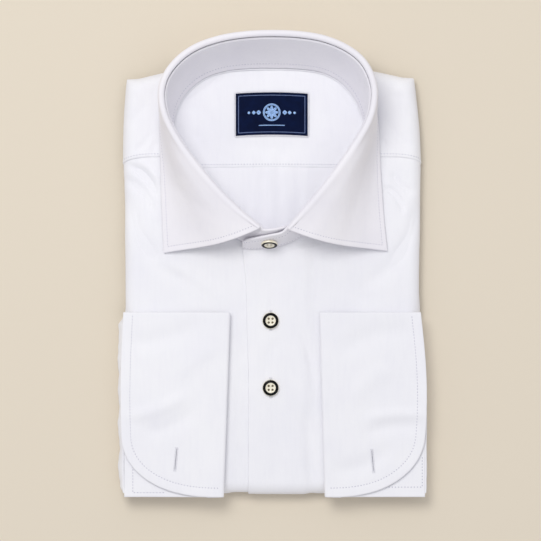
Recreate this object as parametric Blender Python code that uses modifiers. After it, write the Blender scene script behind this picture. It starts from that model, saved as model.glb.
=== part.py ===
"""A long sleeve dress shirt with double cuffs, folded for display and lying on its back.

+Y runs from the tail fold to the collar, +X to the wearer's left, and +Z up from the surface
that the shirt lies on. The origin is under the middle of the folded shirt. Left and right are
the wearer's. Sizes are in millimetres, and mesh_from() turns them into metres.
"""

import math
from collections import namedtuple

import bmesh
import bpy
from mathutils import Matrix, Vector

COLLECTION = "folded_dress_shirt"
METRES_PER_MM = 0.001

# Walls: one ply of shirting, the sewn and interlined pieces, and the air between neighbours.
GAP = 0.3
PLY = 1.0
BAND_WALL = 1.8
LEAF_WALL = 1.6
CUFF_WALL = 1.8
SLEEVE_WALL = 1.2
LABEL_WALL = 0.6

# The folded body. A fold turns round a half circle, and the stack swells a little to its middle.
FOLD_RADIUS = 6.5
CROWN = 3.0
TAIL_Y = -169.3
SHOULDER_Y = 149.5
SHOULDER_DROP = 15.5
SHOULDER_REACH = 108.0
CORNER_ROUND = 0.06
CORE_EASE = 0.15

# How far each layer's underside lies above the core's own surface.
BACK_LIFT = GAP
FRONT_LIFT = BACK_LIFT + PLY + GAP
FRONT_TOP = FRONT_LIFT + PLY
OVERLAP = PLY + GAP
CUFF_LIFT = FRONT_TOP + GAP
CUFF_STEP = CUFF_WALL + 0.4

# Side edges of the folded body, seen from above: y, then the edge at -X and at +X.
Side = namedtuple("Side", "y minus_x plus_x")
SIDES = (
    Side(-170.0, -107.8, 108.2),
    Side(-35.0, -109.0, 108.9),
    Side(40.0, -109.3, 109.4),
    Side(88.0, -110.3, 109.0),
    Side(136.0, -108.0, 104.8),
)

# Quarter turns of the cloth round an edge, in quarter turns: the core's steps, which all layers share.
TURN_STEPS = (0.25, 0.5, 0.75, 1.0)
FRONT_TURNS = (0.25, 0.5, 0.75, 0.95)
BACK_TURNS = (0.25, 0.5, 0.75)
YOKE_INNER_TURNS = (0.15, 0.3)

# The hidden layers show as folded lips below the wrapped panels: how far each one is set back.
LIP_SET_BACKS = (1.4, 0.2, 0.9)
LIP_GROOVE = 1.7
LIP_WAVE = 0.4

# Each lip's section: how far it is set back, and its height as a share of the lip's.
LipPoint = namedtuple("LipPoint", "depth rise")
LIP_SECTION = (
    LipPoint(LIP_GROOVE, 0.0),
    LipPoint(0.35, 0.2),
    LipPoint(0.0, 0.5),
    LipPoint(0.35, 0.8),
)

# Front closing: the left front lies over the right one.
UNDERLAP_X = 13.0
OVERLAP_FLAT_X = 22.0
OVERLAP_END_X = 31.0
Closing = namedtuple("Closing", "y edge_x")
PLACKET = (
    Closing(-170.0, -17.9),
    Closing(-83.0, -17.7),
    Closing(-45.0, -18.8),
    Closing(-21.0, -19.2),
    Closing(11.0, -22.0),
)
NECK_FRONT_Y = 11.5
RIGHT_NECK_CORNER_X = -24.0
RIGHT_NECK_CORNER_Y = 12.0
NECK_TURN_Y = 22.0
NECK_TURN_HASTE = 2.2

# Yoke seams: on the two shoulders, and the one inside the back.
YOKE_SEAM_Y = 79.0
YOKE_SEAM_FALL = 3.2
YOKE_SEAM_FALL_FROM = 88.0
YOKE_SEAM_FALL_POWER = 2.4
INNER_SEAM_Y = 70.0
INNER_SEAM_BOW = 1.6

# Soft pleats below the inner seam: middle, half width and height.
Pleat = namedtuple("Pleat", "x half_width height")
PLEATS = (
    Pleat(-14.0, 5.0, 0.9),
    Pleat(-2.0, 4.5, 1.1),
    Pleat(12.0, 5.0, 1.0),
    Pleat(25.0, 5.0, 0.6),
)
PLEAT_LOW_Y = 20.0
PLEAT_FULL_Y = 34.0

# The collar, station by station, from the right front round the back neck to the left front:
# where the band is sewn on, where the collar folds over, and where the leaf's outer edge lies.
Station = namedtuple("Station", "seam_x seam_y fold_x fold_y fold_z edge_x edge_y")
COLLAR = (
    Station(-22.0, 17.0, -9.5, 26.2, 45.0, -80.0, 7.8),
    Station(-38.5, 26.5, -26.6, 39.8, 46.0, -80.8, 29.0),
    Station(-55.0, 41.5, -42.1, 55.2, 47.0, -81.4, 49.0),
    Station(-66.5, 60.0, -57.4, 73.6, 48.5, -81.9, 68.0),
    Station(-72.3, 77.0, -69.4, 90.3, 49.5, -82.2, 86.0),
    Station(-73.6, 94.0, -78.2, 107.3, 50.5, -82.0, 103.5),
    Station(-72.2, 107.5, -81.0, 123.0, 51.0, -80.3, 121.5),
    Station(-67.8, 119.5, -77.8, 136.4, 51.5, -77.3, 136.0),
    Station(-60.0, 129.5, -68.4, 148.7, 51.5, -68.9, 148.2),
    Station(-48.5, 137.5, -55.2, 157.8, 51.5, -55.7, 156.4),
    Station(-34.0, 142.2, -37.8, 163.8, 51.5, -38.0, 161.8),
    Station(-17.0, 143.9, -19.0, 166.8, 51.5, -19.0, 164.4),
    Station(1.0, 144.1, 0.0, 167.6, 51.5, 0.0, 165.1),
    Station(19.0, 143.6, 19.0, 166.8, 51.5, 19.0, 164.4),
    Station(35.0, 141.3, 37.0, 163.8, 51.5, 37.0, 161.9),
    Station(47.5, 135.6, 53.3, 157.2, 51.5, 53.8, 156.2),
    Station(57.0, 126.5, 65.3, 147.8, 51.5, 66.0, 147.4),
    Station(63.5, 116.0, 72.2, 135.2, 51.5, 72.0, 135.3),
    Station(67.3, 104.0, 74.2, 121.5, 51.0, 74.6, 120.5),
    Station(69.0, 90.0, 70.6, 105.0, 50.5, 76.8, 104.0),
    Station(67.3, 74.0, 61.0, 87.7, 49.5, 78.2, 86.5),
    Station(61.5, 57.0, 49.0, 70.0, 48.5, 79.2, 68.0),
    Station(51.5, 40.5, 36.6, 53.7, 47.0, 80.6, 48.5),
    Station(36.5, 27.5, 23.8, 38.7, 46.0, 82.2, 29.0),
    Station(20.0, 19.6, 11.5, 25.2, 45.0, 84.4, 9.3),
)
STATION_STEP = 0.75

# The outer yoke's lines run from the neck outwards, between these places along the collar.
YOKE_RIM_STATIONS = (4.15, len(COLLAR) - 5.3)
YOKE_SIDE_STATIONS = 5
YOKE_BACK_STATIONS = 12
YOKE_FLAT_SHARES = (0.0, 0.33, 0.66, 0.83, 1.0)
YOKE_FIRST_TURN = 0.21

# The band runs on past the leaf at both fronts: foot and top of each further station.
BandEnd = namedtuple("BandEnd", "seam_x seam_y top_x top_y top_z")
UNDER_END = (
    BandEnd(12.0, 20.2, 12.0, 27.6, 36.0),
    BandEnd(9.0, 18.9, 8.5, 27.0, 40.5),
    BandEnd(0.0, 16.6, 0.5, 25.4, 41.8),
    BandEnd(-11.0, 15.9, -6.5, 25.2, 42.5),
)
TAB_END = (
    BandEnd(11.0, 15.6, 6.0, 22.9, 41.5),
    BandEnd(1.0, 12.9, -3.0, 21.0, 40.3),
    BandEnd(-9.0, 11.7, -11.0, 19.4, 37.8),
    BandEnd(-18.0, 11.3, -18.0, 18.0, 34.2),
    BandEnd(-22.3, 12.4, -22.3, 16.6, 29.0),
)
BAND_FOOT = 1.0
BAND_ROWS = 3
ROLL_HALF_WIDTH = 1.7
ROLL_RISE = 1.3
ROLL_HAUNCH_OUT = 0.8
ROLL_HAUNCH_UP = 0.45
BAND_TOP_DROP = 3.0
LEAF_ROWS = 5
LEAF_BULGE = 1.6
LEAF_FOOT = 1.3
LEAF_SET_BACK = 4.0
LEAF_FRONT_BOW = 2.6
LEAF_FRONT_BOW_STATIONS = 1.5
LEAF_HANG_Z = 1.8
NECK_RIM = 1.4
NECK_MIDDLE_Y = 85.0

# Double cuffs: each is folded back on itself, with its free corner rounded.
CUFF_TOP_Y = -35.6
CUFF_FOOT_Y = -171.5
Cuff = namedtuple("Cuff", "name side fold_x fold_slant outer_x outer_bow base_x")
CUFFS = (
    Cuff("right", -1, 30.9, 4.8, 109.6, 2.1, 109.1),
    Cuff("left", 1, 35.2, 4.0, 109.8, 3.8, 112.2),
)
CUFF_CORNER = 46.0
CUFF_CORNER_POWER = 2.3
CUFF_ROWS = (0.0, 0.12, 0.3, 0.5, 0.66, 0.77, 0.86, 0.925, 0.97, 1.0)
CUFF_COLUMNS = 6

# Sleeves: each comes out from behind the body, round its side, to the cuff.
SLEEVE_TOP_Y = -40.0
SLEEVE_FOOT_Y = -168.5
SLEEVE_ROWS = 20
SLEEVE_SLACK = 0.6
SLEEVE_FULLNESS = 2.4
SLEEVE_FULL_FROM = 10.0
SLEEVE_FULL_AT = 20.0
SleeveFold = namedtuple("SleeveFold", "y half_width depth")
SLEEVE_FOLDS = (
    SleeveFold(-70.0, 9.0, 0.9),
    SleeveFold(-93.0, 6.0, 1.1),
    SleeveFold(-119.0, 8.0, 1.3),
    SleeveFold(-149.0, 7.0, 1.5),
)
LEFT_SLEEVE_SHARE = 0.4

# Buttons and the label.
BUTTON_RADIUS = 6.1
BUTTON_THICK = 2.4
BUTTON_DISH_RADIUS = 3.75
BUTTON_DISH_DEPTH = 0.5
BUTTON_EDGE = 0.5
BUTTON_HOLE_RADIUS = 0.8
BUTTON_HOLE_OFFSET = 1.6
BUTTON_SEGMENTS = 20
BUTTON_X = -1.4
BUTTON_YS = (-41.7, -91.1)
COLLAR_BUTTON_X = -2.3
LABEL_X = (-27.1, 25.9)
LABEL_Y = (93.9, 125.2)
LABEL_BOW = 1.0


def curve_value(xs, ys, x):
    """The smooth curve through the points (xs, ys), which runs straight on past its ends."""
    last = len(xs) - 1
    slopes = []
    for index in range(len(xs)):
        before, after = max(index - 1, 0), min(index + 1, last)
        slopes.append((ys[after] - ys[before]) / (xs[after] - xs[before]))
    if x <= xs[0]:
        return ys[0] + slopes[0] * (x - xs[0])
    if x >= xs[last]:
        return ys[last] + slopes[last] * (x - xs[last])
    index = max(i for i in range(last) if xs[i] <= x)
    span = xs[index + 1] - xs[index]
    t = (x - xs[index]) / span
    return (
        (1 + 2 * t) * (1 - t) ** 2 * ys[index]
        + t * (1 - t) ** 2 * span * slopes[index]
        + t * t * (3 - 2 * t) * ys[index + 1]
        + t * t * (t - 1) * span * slopes[index + 1]
    )


def column(rows, name):
    return [getattr(row, name) for row in rows]


def smooth_step(start, end, x):
    """0 up to start and 1 from end, which may lie on either side of it."""
    t = min(max((x - start) / (end - start), 0.0), 1.0)
    return t * t * (3 - 2 * t)


def mix(a, b, t):
    return a + (b - a) * t


# The folded body's surface


def side_line(side, y):
    """x where the flat top ends and the side fold starts to turn."""
    edge = curve_value(column(SIDES, "y"), column(SIDES, "plus_x" if side > 0 else "minus_x"), y)
    return edge - side * (FOLD_RADIUS + FRONT_TOP)


def shoulder_line(x):
    return SHOULDER_Y - SHOULDER_DROP * (x / SHOULDER_REACH) ** 2 - FOLD_RADIUS - FRONT_TOP


def tail_line():
    return TAIL_Y + FOLD_RADIUS + FRONT_TOP


def crown(x, y):
    across = x / side_line(math.copysign(1, x), y)
    along = (2 * y - tail_line() - shoulder_line(x)) / (shoulder_line(x) - tail_line())
    return CROWN * max(0.0, 1 - across**2) * max(0.0, 1 - along**2)


def on_body(x, y, lift, side_turn=0.0, end_turn=0.0):
    """A point of the body's surface, raised by lift. The turns are quarter turns round the folds.

    side_turn goes round the side edge nearer to x, and end_turn round the tail when it is
    negative and round the shoulder edge when it is positive.
    """
    side = math.copysign(1, x)
    round_side = math.sin(side_turn * math.pi / 2)
    round_end = math.sin(abs(end_turn) * math.pi / 2)
    radius = FOLD_RADIUS + lift
    reach = radius * (1 - CORNER_ROUND * round_side * round_end)
    height = math.cos(side_turn * math.pi / 2) * math.cos(end_turn * math.pi / 2)
    return Vector(
        (
            x + side * reach * round_side,
            y + math.copysign(1, end_turn) * reach * round_end,
            FOLD_RADIUS + (radius + crown(x, y)) * height,
        )
    )


def overlap_lift(x):
    """The left front's rise over the right front's closing edge."""
    return OVERLAP * (1 - smooth_step(OVERLAP_FLAT_X, OVERLAP_END_X, x))


def body_height(x, y, lift):
    """The body's height at a place seen from above, raised by lift, and 0 off the body."""
    side = math.copysign(1, x)
    out_side = max(0.0, side * (x - side_line(side, y)))
    out_end = max(0.0, y - shoulder_line(x), tail_line() - y)
    radius = FOLD_RADIUS + lift
    if max(out_side, out_end) >= radius:
        return 0.0
    fall = (1 - (out_side / radius) ** 2) * (1 - (out_end / radius) ** 2)
    return FOLD_RADIUS + (radius + crown(x, y)) * math.sqrt(fall)


def yoke_seam_y(x):
    """The yoke seam, level near the neck and falling ever faster towards the side folds."""
    share = max(0.0, abs(x) - YOKE_SEAM_FALL_FROM) / (SHOULDER_REACH - YOKE_SEAM_FALL_FROM)
    return YOKE_SEAM_Y - YOKE_SEAM_FALL * share**YOKE_SEAM_FALL_POWER


def neck_rim_point(index):
    """The neck hole in the fronts and the yoke, which lies a little inside the band's foot."""
    x = curve_value(range(len(COLLAR)), column(COLLAR, "seam_x"), index)
    y = curve_value(range(len(COLLAR)), column(COLLAR, "seam_y"), index)
    inward = Vector((-x, NECK_MIDDLE_Y - y)).normalized() * NECK_RIM
    return x + inward.x, y + inward.y


def left_neck_line():
    """The neck hole's edge on the left front: from its corner along the tab's foot, and up."""
    corner = curve_value(column(PLACKET, "y"), column(PLACKET, "edge_x"), NECK_FRONT_Y)
    line = [(corner, NECK_FRONT_Y)]
    line += [(end.seam_x, end.seam_y + NECK_RIM) for end in TAB_END[2::-1]]
    return line + [neck_rim_point(index) for index in range(len(COLLAR) - 1, len(COLLAR) - 6, -1)]


def right_neck_line():
    """The neck hole's edge on the right front, above where the band's under end covers it."""
    return [neck_rim_point(index) for index in range(5)]


def neck_x(line, y):
    return curve_value([point[1] for point in line], [point[0] for point in line], y)


# Meshes


def material(name, colour, roughness, metallic=0.0):
    made = bpy.data.materials.new(name)
    made.use_nodes = True
    shader = made.node_tree.nodes["Principled BSDF"]
    shader.inputs["Base Color"].default_value = (*colour, 1.0)
    shader.inputs["Roughness"].default_value = roughness
    shader.inputs["Metallic"].default_value = metallic
    return made


def new_object(name, mesh, finish, collection):
    mesh.materials.append(finish)
    mesh.shade_smooth()
    mesh.set_sharp_from_angle(angle=math.radians(40))
    made = bpy.data.objects.new(name, mesh)
    collection.objects.link(made)
    return made


def mesh_from(name, points, faces):
    """A mesh in metres from points in millimetres, with its faces turned outwards."""
    mesh = bpy.data.meshes.new(name)
    mesh.from_pydata([point * METRES_PER_MM for point in points], [], faces)
    build = bmesh.new()
    build.from_mesh(mesh)
    bmesh.ops.recalc_face_normals(build, faces=build.faces)
    build.to_mesh(mesh)
    build.free()
    return mesh


def wall(name, under, over, finish, collection):
    """A sheet of cloth: two grids of points, its underside and its top, closed round the rim."""
    rows, columns = len(under), len(under[0])
    points = [point for grid in (under, over) for row in grid for point in row]

    def at(layer, row, place):
        return (layer * rows + row) * columns + place

    faces = []
    for row in range(rows - 1):
        for place in range(columns - 1):
            corners = ((row, place), (row, place + 1), (row + 1, place + 1), (row + 1, place))
            faces.append([at(0, *corner) for corner in corners])
            faces.append([at(1, *corner) for corner in reversed(corners)])
    rim = [(0, place) for place in range(columns - 1)]
    rim += [(row, columns - 1) for row in range(rows - 1)]
    rim += [(rows - 1, place) for place in range(columns - 1, 0, -1)]
    rim += [(row, 0) for row in range(rows - 1, 0, -1)]
    for here, there in zip(rim, rim[1:] + rim[:1]):
        faces.append([at(0, *here), at(0, *there), at(1, *there), at(1, *here)])
    return new_object(name, mesh_from(name, points, faces), finish, collection)


def normals_of(grid):
    """The unit normal at each point of a grid, from the directions to its neighbours."""
    rows, columns = len(grid), len(grid[0])

    def direction(before, here, after):
        forward = (after - here).normalized() if after is not here else Vector()
        backward = (here - before).normalized() if before is not here else Vector()
        return (forward + backward).normalized()

    normals = []
    for row in range(rows):
        line = []
        for place in range(columns):
            here = grid[row][place]
            along = direction(grid[max(row - 1, 0)][place], here, grid[min(row + 1, rows - 1)][place])
            across = direction(
                grid[row][max(place - 1, 0)], here, grid[row][min(place + 1, columns - 1)]
            )
            line.append(along.cross(across).normalized())
        normals.append(line)
    return normals


def thick_sheet(name, middle, thickness, finish, collection):
    """A wall of even thickness about a grid of points in its middle."""
    normals = normals_of(middle)
    grids = []
    for share in (-0.5, 0.5):
        offset = share * thickness
        grids.append(
            [
                [point + normal * offset for point, normal in zip(row, line)]
                for row, line in zip(middle, normals)
            ]
        )
    return wall(name, grids[0], grids[1], finish, collection)


# The hidden layers


def core_grid_shares(count):
    """Shares from 0 to 1 of a side, with a closer one near each end."""
    inner = [(index + 1) / count for index in range(count - 1)]
    return [0.0, 0.4 / count, *inner, 1 - 0.4 / count, 1.0]


def folded_core(finish, collection):
    """The stack of hidden layers: a flat underside, lips of folded cloth, and a crowned top."""
    across, along = core_grid_shares(6), core_grid_shares(10)
    columns, rows = len(across), len(along)

    def place(row, place_in_row):
        x_share, y_share = across[place_in_row], along[row]
        y = mix(tail_line(), shoulder_line(0), y_share)
        x = mix(side_line(-1, y), side_line(1, y), x_share)
        return x, mix(tail_line(), shoulder_line(x), y_share)

    edge = [(0, index) for index in range(columns - 1)]
    edge += [(index, columns - 1) for index in range(rows - 1)]
    edge += [(rows - 1, index) for index in range(columns - 1, 0, -1)]
    edge += [(index, 0) for index in range(rows - 1, 0, -1)]

    def out_from(row, index):
        """Which way is out, with both parts set at a corner."""
        end = -1 if row == 0 else 1 if row == rows - 1 else 0
        side = -1 if index == 0 else 1 if index == columns - 1 else 0
        shrink = 1 - CORNER_ROUND if side and end else 1
        return side * shrink, end * shrink

    def lip_ring(set_back, z, phase):
        line = []
        for number, (row, index) in enumerate(edge):
            x, y = place(row, index)
            side, end = out_from(row, index)
            wave = LIP_WAVE * math.sin(10 * math.pi * number / len(edge) + phase)
            reach = FOLD_RADIUS - set_back + wave
            line.append(Vector((x + side * reach, y + end * reach, z)))
        return line

    def fold_ring(turn):
        line = []
        for row, index in edge:
            side, end = out_from(row, index)
            side_turn, end_turn = turn * bool(side), math.copysign(turn, end) if end else 0.0
            line.append(on_body(*place(row, index), -CORE_EASE, side_turn, end_turn))
        return line

    lip_height = FOLD_RADIUS / len(LIP_SET_BACKS)
    rings = []
    for number, set_back in enumerate(LIP_SET_BACKS):
        for point in LIP_SECTION:
            z = (number + point.rise) * lip_height
            rings.append(lip_ring(set_back + point.depth, z, 2.0 * number))
    rings += [fold_ring(turn) for turn in reversed(TURN_STEPS)]

    points = [point for line in rings for point in line]
    faces = [list(range(len(edge)))]
    for level in range(len(rings) - 1):
        low, high = level * len(edge), (level + 1) * len(edge)
        for index in range(len(edge)):
            after = (index + 1) % len(edge)
            faces.append([low + index, low + after, high + after, high + index])
    top = len(points)
    for row in range(rows):
        points += [on_body(*place(row, index), -CORE_EASE) for index in range(columns)]
    for row in range(rows - 1):
        for index in range(columns - 1):
            start = top + row * columns + index
            faces.append([start, start + 1, start + columns + 1, start + columns])
    last = top - len(edge)
    rim = [top + row * columns + index for row, index in edge]
    for index in range(len(edge)):
        after = (index + 1) % len(edge)
        faces.append([last + index, last + after, rim[after], rim[index]])
    mesh = mesh_from("folded_core", points, faces)
    return new_object("folded_core", mesh, finish, collection)


# Back and yoke


def pleat_height(x, y):
    fade = smooth_step(PLEAT_LOW_Y, PLEAT_FULL_Y, y)
    return fade * sum(
        pleat.height * math.exp(-(((x - pleat.x) / pleat.half_width) ** 2)) for pleat in PLEATS
    )


def inner_seam_y(x):
    return INNER_SEAM_Y + INNER_SEAM_BOW * (1 - (x / SHOULDER_REACH) ** 2)


def full_width(y_of, lift, middle_xs, turns, end_turn=0.0, rise=None):
    """One row of a sheet that runs from side to side and turns round both side folds."""
    ends = {}
    for side in (-1, 1):
        x = side_line(side, y_of(side * SHOULDER_REACH))
        ends[side] = [on_body(x, y_of(x), lift, turn, end_turn) for turn in (0.0, *turns)]
    line = list(reversed(ends[-1]))
    for x in middle_xs:
        extra = rise(x, y_of(x)) if rise else 0.0
        line.append(on_body(x, y_of(x), lift + extra, 0.0, end_turn))
    return line + ends[1]


def back_panel(finish, collection):
    """The back, seen through the neck hole, with its pleats below the inner yoke seam."""
    middle_xs = (-75, -50, -30, -21, -14, -8, -2, 5, 12, 18.5, 25, 33, 52, 77)
    grids = []
    for lift in (BACK_LIFT, BACK_LIFT + PLY):
        rows = []
        for turn in reversed(BACK_TURNS):
            rows.append(full_width(lambda x: tail_line(), lift, middle_xs, BACK_TURNS, -turn))
        for share in (0.0, 0.12, 0.24, 0.36, 0.48, 0.6, 0.7, 0.78, 0.85, 0.92, 1.0):
            rows.append(
                full_width(
                    lambda x: mix(tail_line(), inner_seam_y(x) - GAP, share),
                    lift,
                    middle_xs,
                    BACK_TURNS,
                    rise=pleat_height,
                )
            )
        grids.append(rows)
    wall("back_panel", grids[0], grids[1], finish, collection)


def yoke_inner(finish, collection):
    """The inside of the yoke, from its seam over the shoulder line, under the label."""
    xs = (-88, -68, -48, -30, -21, -14, -8, -2, 5, 12, 18.5, 25, 33, 50, 68, 88)

    def rise(x, y):
        return pleat_height(x, y) * (1 - smooth_step(INNER_SEAM_Y, INNER_SEAM_Y + 16, y))

    grids = []
    for lift in (BACK_LIFT, BACK_LIFT + PLY):
        rows = []
        for share in (0.0, 0.15, 0.35, 0.6, 0.8, 1.0):
            places = [(x, mix(inner_seam_y(x), shoulder_line(x), share)) for x in xs]
            rows.append([on_body(x, y, lift + rise(x, y)) for x, y in places])
        for turn in YOKE_INNER_TURNS:
            rows.append([on_body(x, shoulder_line(x), lift, 0.0, turn) for x in xs])
        grids.append(rows)
    wall("yoke_inner", grids[0], grids[1], finish, collection)


def yoke_outline():
    """The outer yoke's rim at the neck, and beside it its outer edge's place and turns."""
    low = yoke_seam_y(side_line(1, YOKE_SEAM_Y)) + GAP / 2
    high = shoulder_line(side_line(1, SHOULDER_Y - SHOULDER_DROP))
    outer = []
    for step in range(YOKE_SIDE_STATIONS):
        y = mix(low, high, step / YOKE_SIDE_STATIONS)
        outer.append((side_line(-1, y), y, 1, 0))
    left_x, right_x = side_line(-1, high), side_line(1, high)
    outer.append((left_x, shoulder_line(left_x), 1, 1))
    for step in range(1, YOKE_BACK_STATIONS):
        x = mix(left_x, right_x, step / YOKE_BACK_STATIONS)
        outer.append((x, shoulder_line(x), 0, 1))
    outer.append((right_x, shoulder_line(right_x), 1, 1))
    for step in range(YOKE_SIDE_STATIONS - 1, -1, -1):
        y = mix(low, high, step / YOKE_SIDE_STATIONS)
        outer.append((side_line(1, y), y, 1, 0))
    last = len(outer) - 1
    inner = [neck_rim_point(mix(*YOKE_RIM_STATIONS, index / last)) for index in range(last + 1)]
    return inner, outer


def yoke_line(start, end, lift, on_seam):
    """One line of the outer yoke, from the neck to its outer edge past the fold."""
    x, y, side_turned, end_turned = end
    past = max(0.0, start[1] - shoulder_line(start[0]))
    rim_turn = math.asin(past / (FOLD_RADIUS + lift)) / (math.pi / 2)
    line = []
    for share in YOKE_FLAT_SHARES:
        place_x, place_y = mix(start[0], x, share), mix(start[1], y, share)
        if on_seam:
            place_y = yoke_seam_y(place_x) + GAP / 2
        if past > 0:
            turn = mix(rim_turn, YOKE_FIRST_TURN, share)
            line.append(on_body(place_x, shoulder_line(place_x), lift, 0.0, turn))
        else:
            line.append(on_body(place_x, place_y, lift))
    for turn in FRONT_TURNS:
        line.append(on_body(x, y, lift, turn * side_turned, turn * end_turned))
    return line


def yoke_outer(finish, collection):
    """The outer yoke: over both shoulders and round the back of the neck hole."""
    inner, outer = yoke_outline()
    grids = []
    for lift in (FRONT_LIFT, FRONT_TOP):
        rows = []
        for number, (start, end) in enumerate(zip(inner, outer)):
            rows.append(yoke_line(start, end, lift, on_seam=number in (0, len(inner) - 1)))
        grids.append(rows)
    wall("yoke_outer", grids[0], grids[1], finish, collection)


# Fronts


def front_edge_x(side, y):
    """x of a front's inner edge: its closing edge, and above that the neck hole."""
    if side > 0:
        if y > NECK_FRONT_Y:
            return neck_x(left_neck_line(), y)
        return curve_value(column(PLACKET, "y"), column(PLACKET, "edge_x"), y)
    if y > NECK_TURN_Y:
        return neck_x(right_neck_line(), y)
    share = max(0.0, y - RIGHT_NECK_CORNER_Y) / (NECK_TURN_Y - RIGHT_NECK_CORNER_Y)
    slanted = mix(RIGHT_NECK_CORNER_X, neck_x(right_neck_line(), NECK_TURN_Y), share)
    return mix(UNDERLAP_X, slanted, min(1.0, NECK_TURN_HASTE * share))


def front(name, side, finish, collection):
    """One front, from its closing edge round the side fold, and round the tail fold below."""
    flat_shares = (0.0, 0.1, 0.2, 0.3, 0.36, 0.5, 0.66, 0.83, 1.0)
    below_neck = (-135.0, -110.0, -85.0, -60.0, -35.0, -12.0, NECK_FRONT_Y)
    beside_neck = (12.6, 13.6, 15.0, 17.0, 19.5, NECK_TURN_Y, 30.0, 42.0, 58.0)

    def row_points(y_of, lift, end_turn=0.0):
        inner_x = front_edge_x(side, y_of(0))
        outer_x = side_line(side, y_of(side * SHOULDER_REACH))
        line = []
        for share in flat_shares:
            x = mix(inner_x, outer_x, share)
            rise = overlap_lift(x) if side > 0 else 0.0
            line.append(on_body(x, y_of(x), lift + rise, 0.0, end_turn))
        for turn in FRONT_TURNS:
            line.append(on_body(outer_x, y_of(outer_x), lift, turn, end_turn))
        return line

    grids = []
    for lift in (FRONT_LIFT, FRONT_TOP):
        rows = []
        for turn in reversed(FRONT_TURNS):
            rows.append(row_points(lambda x: tail_line(), lift, -turn))
        rows.append(row_points(lambda x: tail_line(), lift))
        for y in below_neck + beside_neck:
            rows.append(row_points(lambda x: y, lift))
        rows.append(row_points(lambda x: yoke_seam_y(x) - GAP / 2, lift))
        grids.append(rows)
    wall(name, grids[0], grids[1], finish, collection)


# Collar


def collar_station(index):
    """The band's foot, the fold and the leaf's edge at a place along the collar."""
    values = {
        name: curve_value(range(len(COLLAR)), column(COLLAR, name), index)
        for name in Station._fields
    }
    foot = band_foot(values["seam_x"], values["seam_y"])
    fold = Vector((values["fold_x"], values["fold_y"], values["fold_z"]))
    edge_x, edge_y = values["edge_x"], values["edge_y"]
    rest = body_height(edge_x, edge_y - LEAF_SET_BACK, FRONT_TOP) + LEAF_FOOT
    edge = Vector((edge_x, edge_y, max(rest, LEAF_HANG_Z)))
    return foot, fold, edge


def band_foot(x, y):
    rise = overlap_lift(x) if y < INNER_SEAM_Y else 0.0
    return Vector((x, y, body_height(x, y, FRONT_TOP + rise) + BAND_FOOT))


def outward(index):
    """The level direction away from the neck, square to the fold."""
    step = 0.25
    before, after = collar_station(index - step)[1], collar_station(index + step)[1]
    along = (after - before).normalized()
    return Vector((-along.y, along.x, 0.0)).normalized()


def collar_indices():
    last = len(COLLAR) - 1
    count = round(last / STATION_STEP)
    return [last * number / count for number in range(count + 1)]


def band_top(index):
    fold = collar_station(index)[1]
    return fold - outward(index) * ROLL_HALF_WIDTH - Vector((0, 0, BAND_TOP_DROP))


def collar_band(finish, collection):
    """The band: a strip that stands round the neck, its left end lapped over its right one."""
    pairs = [
        (band_foot(end.seam_x, end.seam_y), Vector((end.top_x, end.top_y, end.top_z)))
        for end in UNDER_END
    ]
    for index in collar_indices():
        pairs.append((collar_station(index)[0], band_top(index)))
    for end in TAB_END:
        pairs.append(
            (band_foot(end.seam_x, end.seam_y), Vector((end.top_x, end.top_y, end.top_z)))
        )
    middle = []
    for foot, top in pairs:
        middle.append([foot.lerp(top, row / BAND_ROWS) for row in range(BAND_ROWS + 1)])
    thick_sheet("collar_band", middle, BAND_WALL, finish, collection)


def leaf_section(index):
    """The leaf from the band's top edge, over the roll, and down to its outer edge."""
    fold, edge = collar_station(index)[1:]
    out = outward(index)
    up = Vector((0, 0, 1))
    start = band_top(index) + up * (GAP + BAND_WALL / 2)
    line = [
        start,
        fold - out * ROLL_HALF_WIDTH * ROLL_HAUNCH_OUT + up * ROLL_RISE * ROLL_HAUNCH_UP,
        fold + up * ROLL_RISE,
        fold + out * ROLL_HALF_WIDTH * ROLL_HAUNCH_OUT + up * ROLL_RISE * ROLL_HAUNCH_UP,
    ]
    shoulder = fold + out * ROLL_HALF_WIDTH - up * ROLL_RISE
    to_front = min(index, len(COLLAR) - 1 - index) / LEAF_FRONT_BOW_STATIONS
    bow = Vector((0, -1, 0)) * LEAF_FRONT_BOW * max(0.0, 1 - to_front)
    bulge = (out * 0.5 + up).normalized() * LEAF_BULGE
    for row in range(LEAF_ROWS + 1):
        share = row / LEAF_ROWS
        line.append(shoulder.lerp(edge, share) + (bulge + bow) * math.sin(math.pi * share))
    return line


def collar_leaf(finish, collection):
    """The leaf, folded over the band all round, with a point on each front."""
    middle = [leaf_section(index) for index in collar_indices()]
    thick_sheet("collar_leaf", middle, LEAF_WALL, finish, collection)


# Cuffs and sleeves


def flat_height(x, y, lift):
    """The height of a stiff piece that lies on the body and doesn't turn round its folds."""
    return 2 * FOLD_RADIUS + crown(x, y) + lift


def cuff_free_x(cut, share):
    """How far out the turned-back half reaches, with its foot corner rounded."""
    straight = cut.outer_x + cut.outer_bow * math.sin(math.pi * min(1.0, share * 1.1))
    length = CUFF_TOP_Y - CUFF_FOOT_Y
    into = max(0.0, CUFF_CORNER - (1 - share) * length) / CUFF_CORNER
    fold_x = cut.fold_x + cut.fold_slant * share
    corner_width = straight - fold_x - CUFF_WALL * 2
    rounding = 1 - (1 - into**CUFF_CORNER_POWER) ** (1 / CUFF_CORNER_POWER)
    return straight - corner_width * rounding


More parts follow.
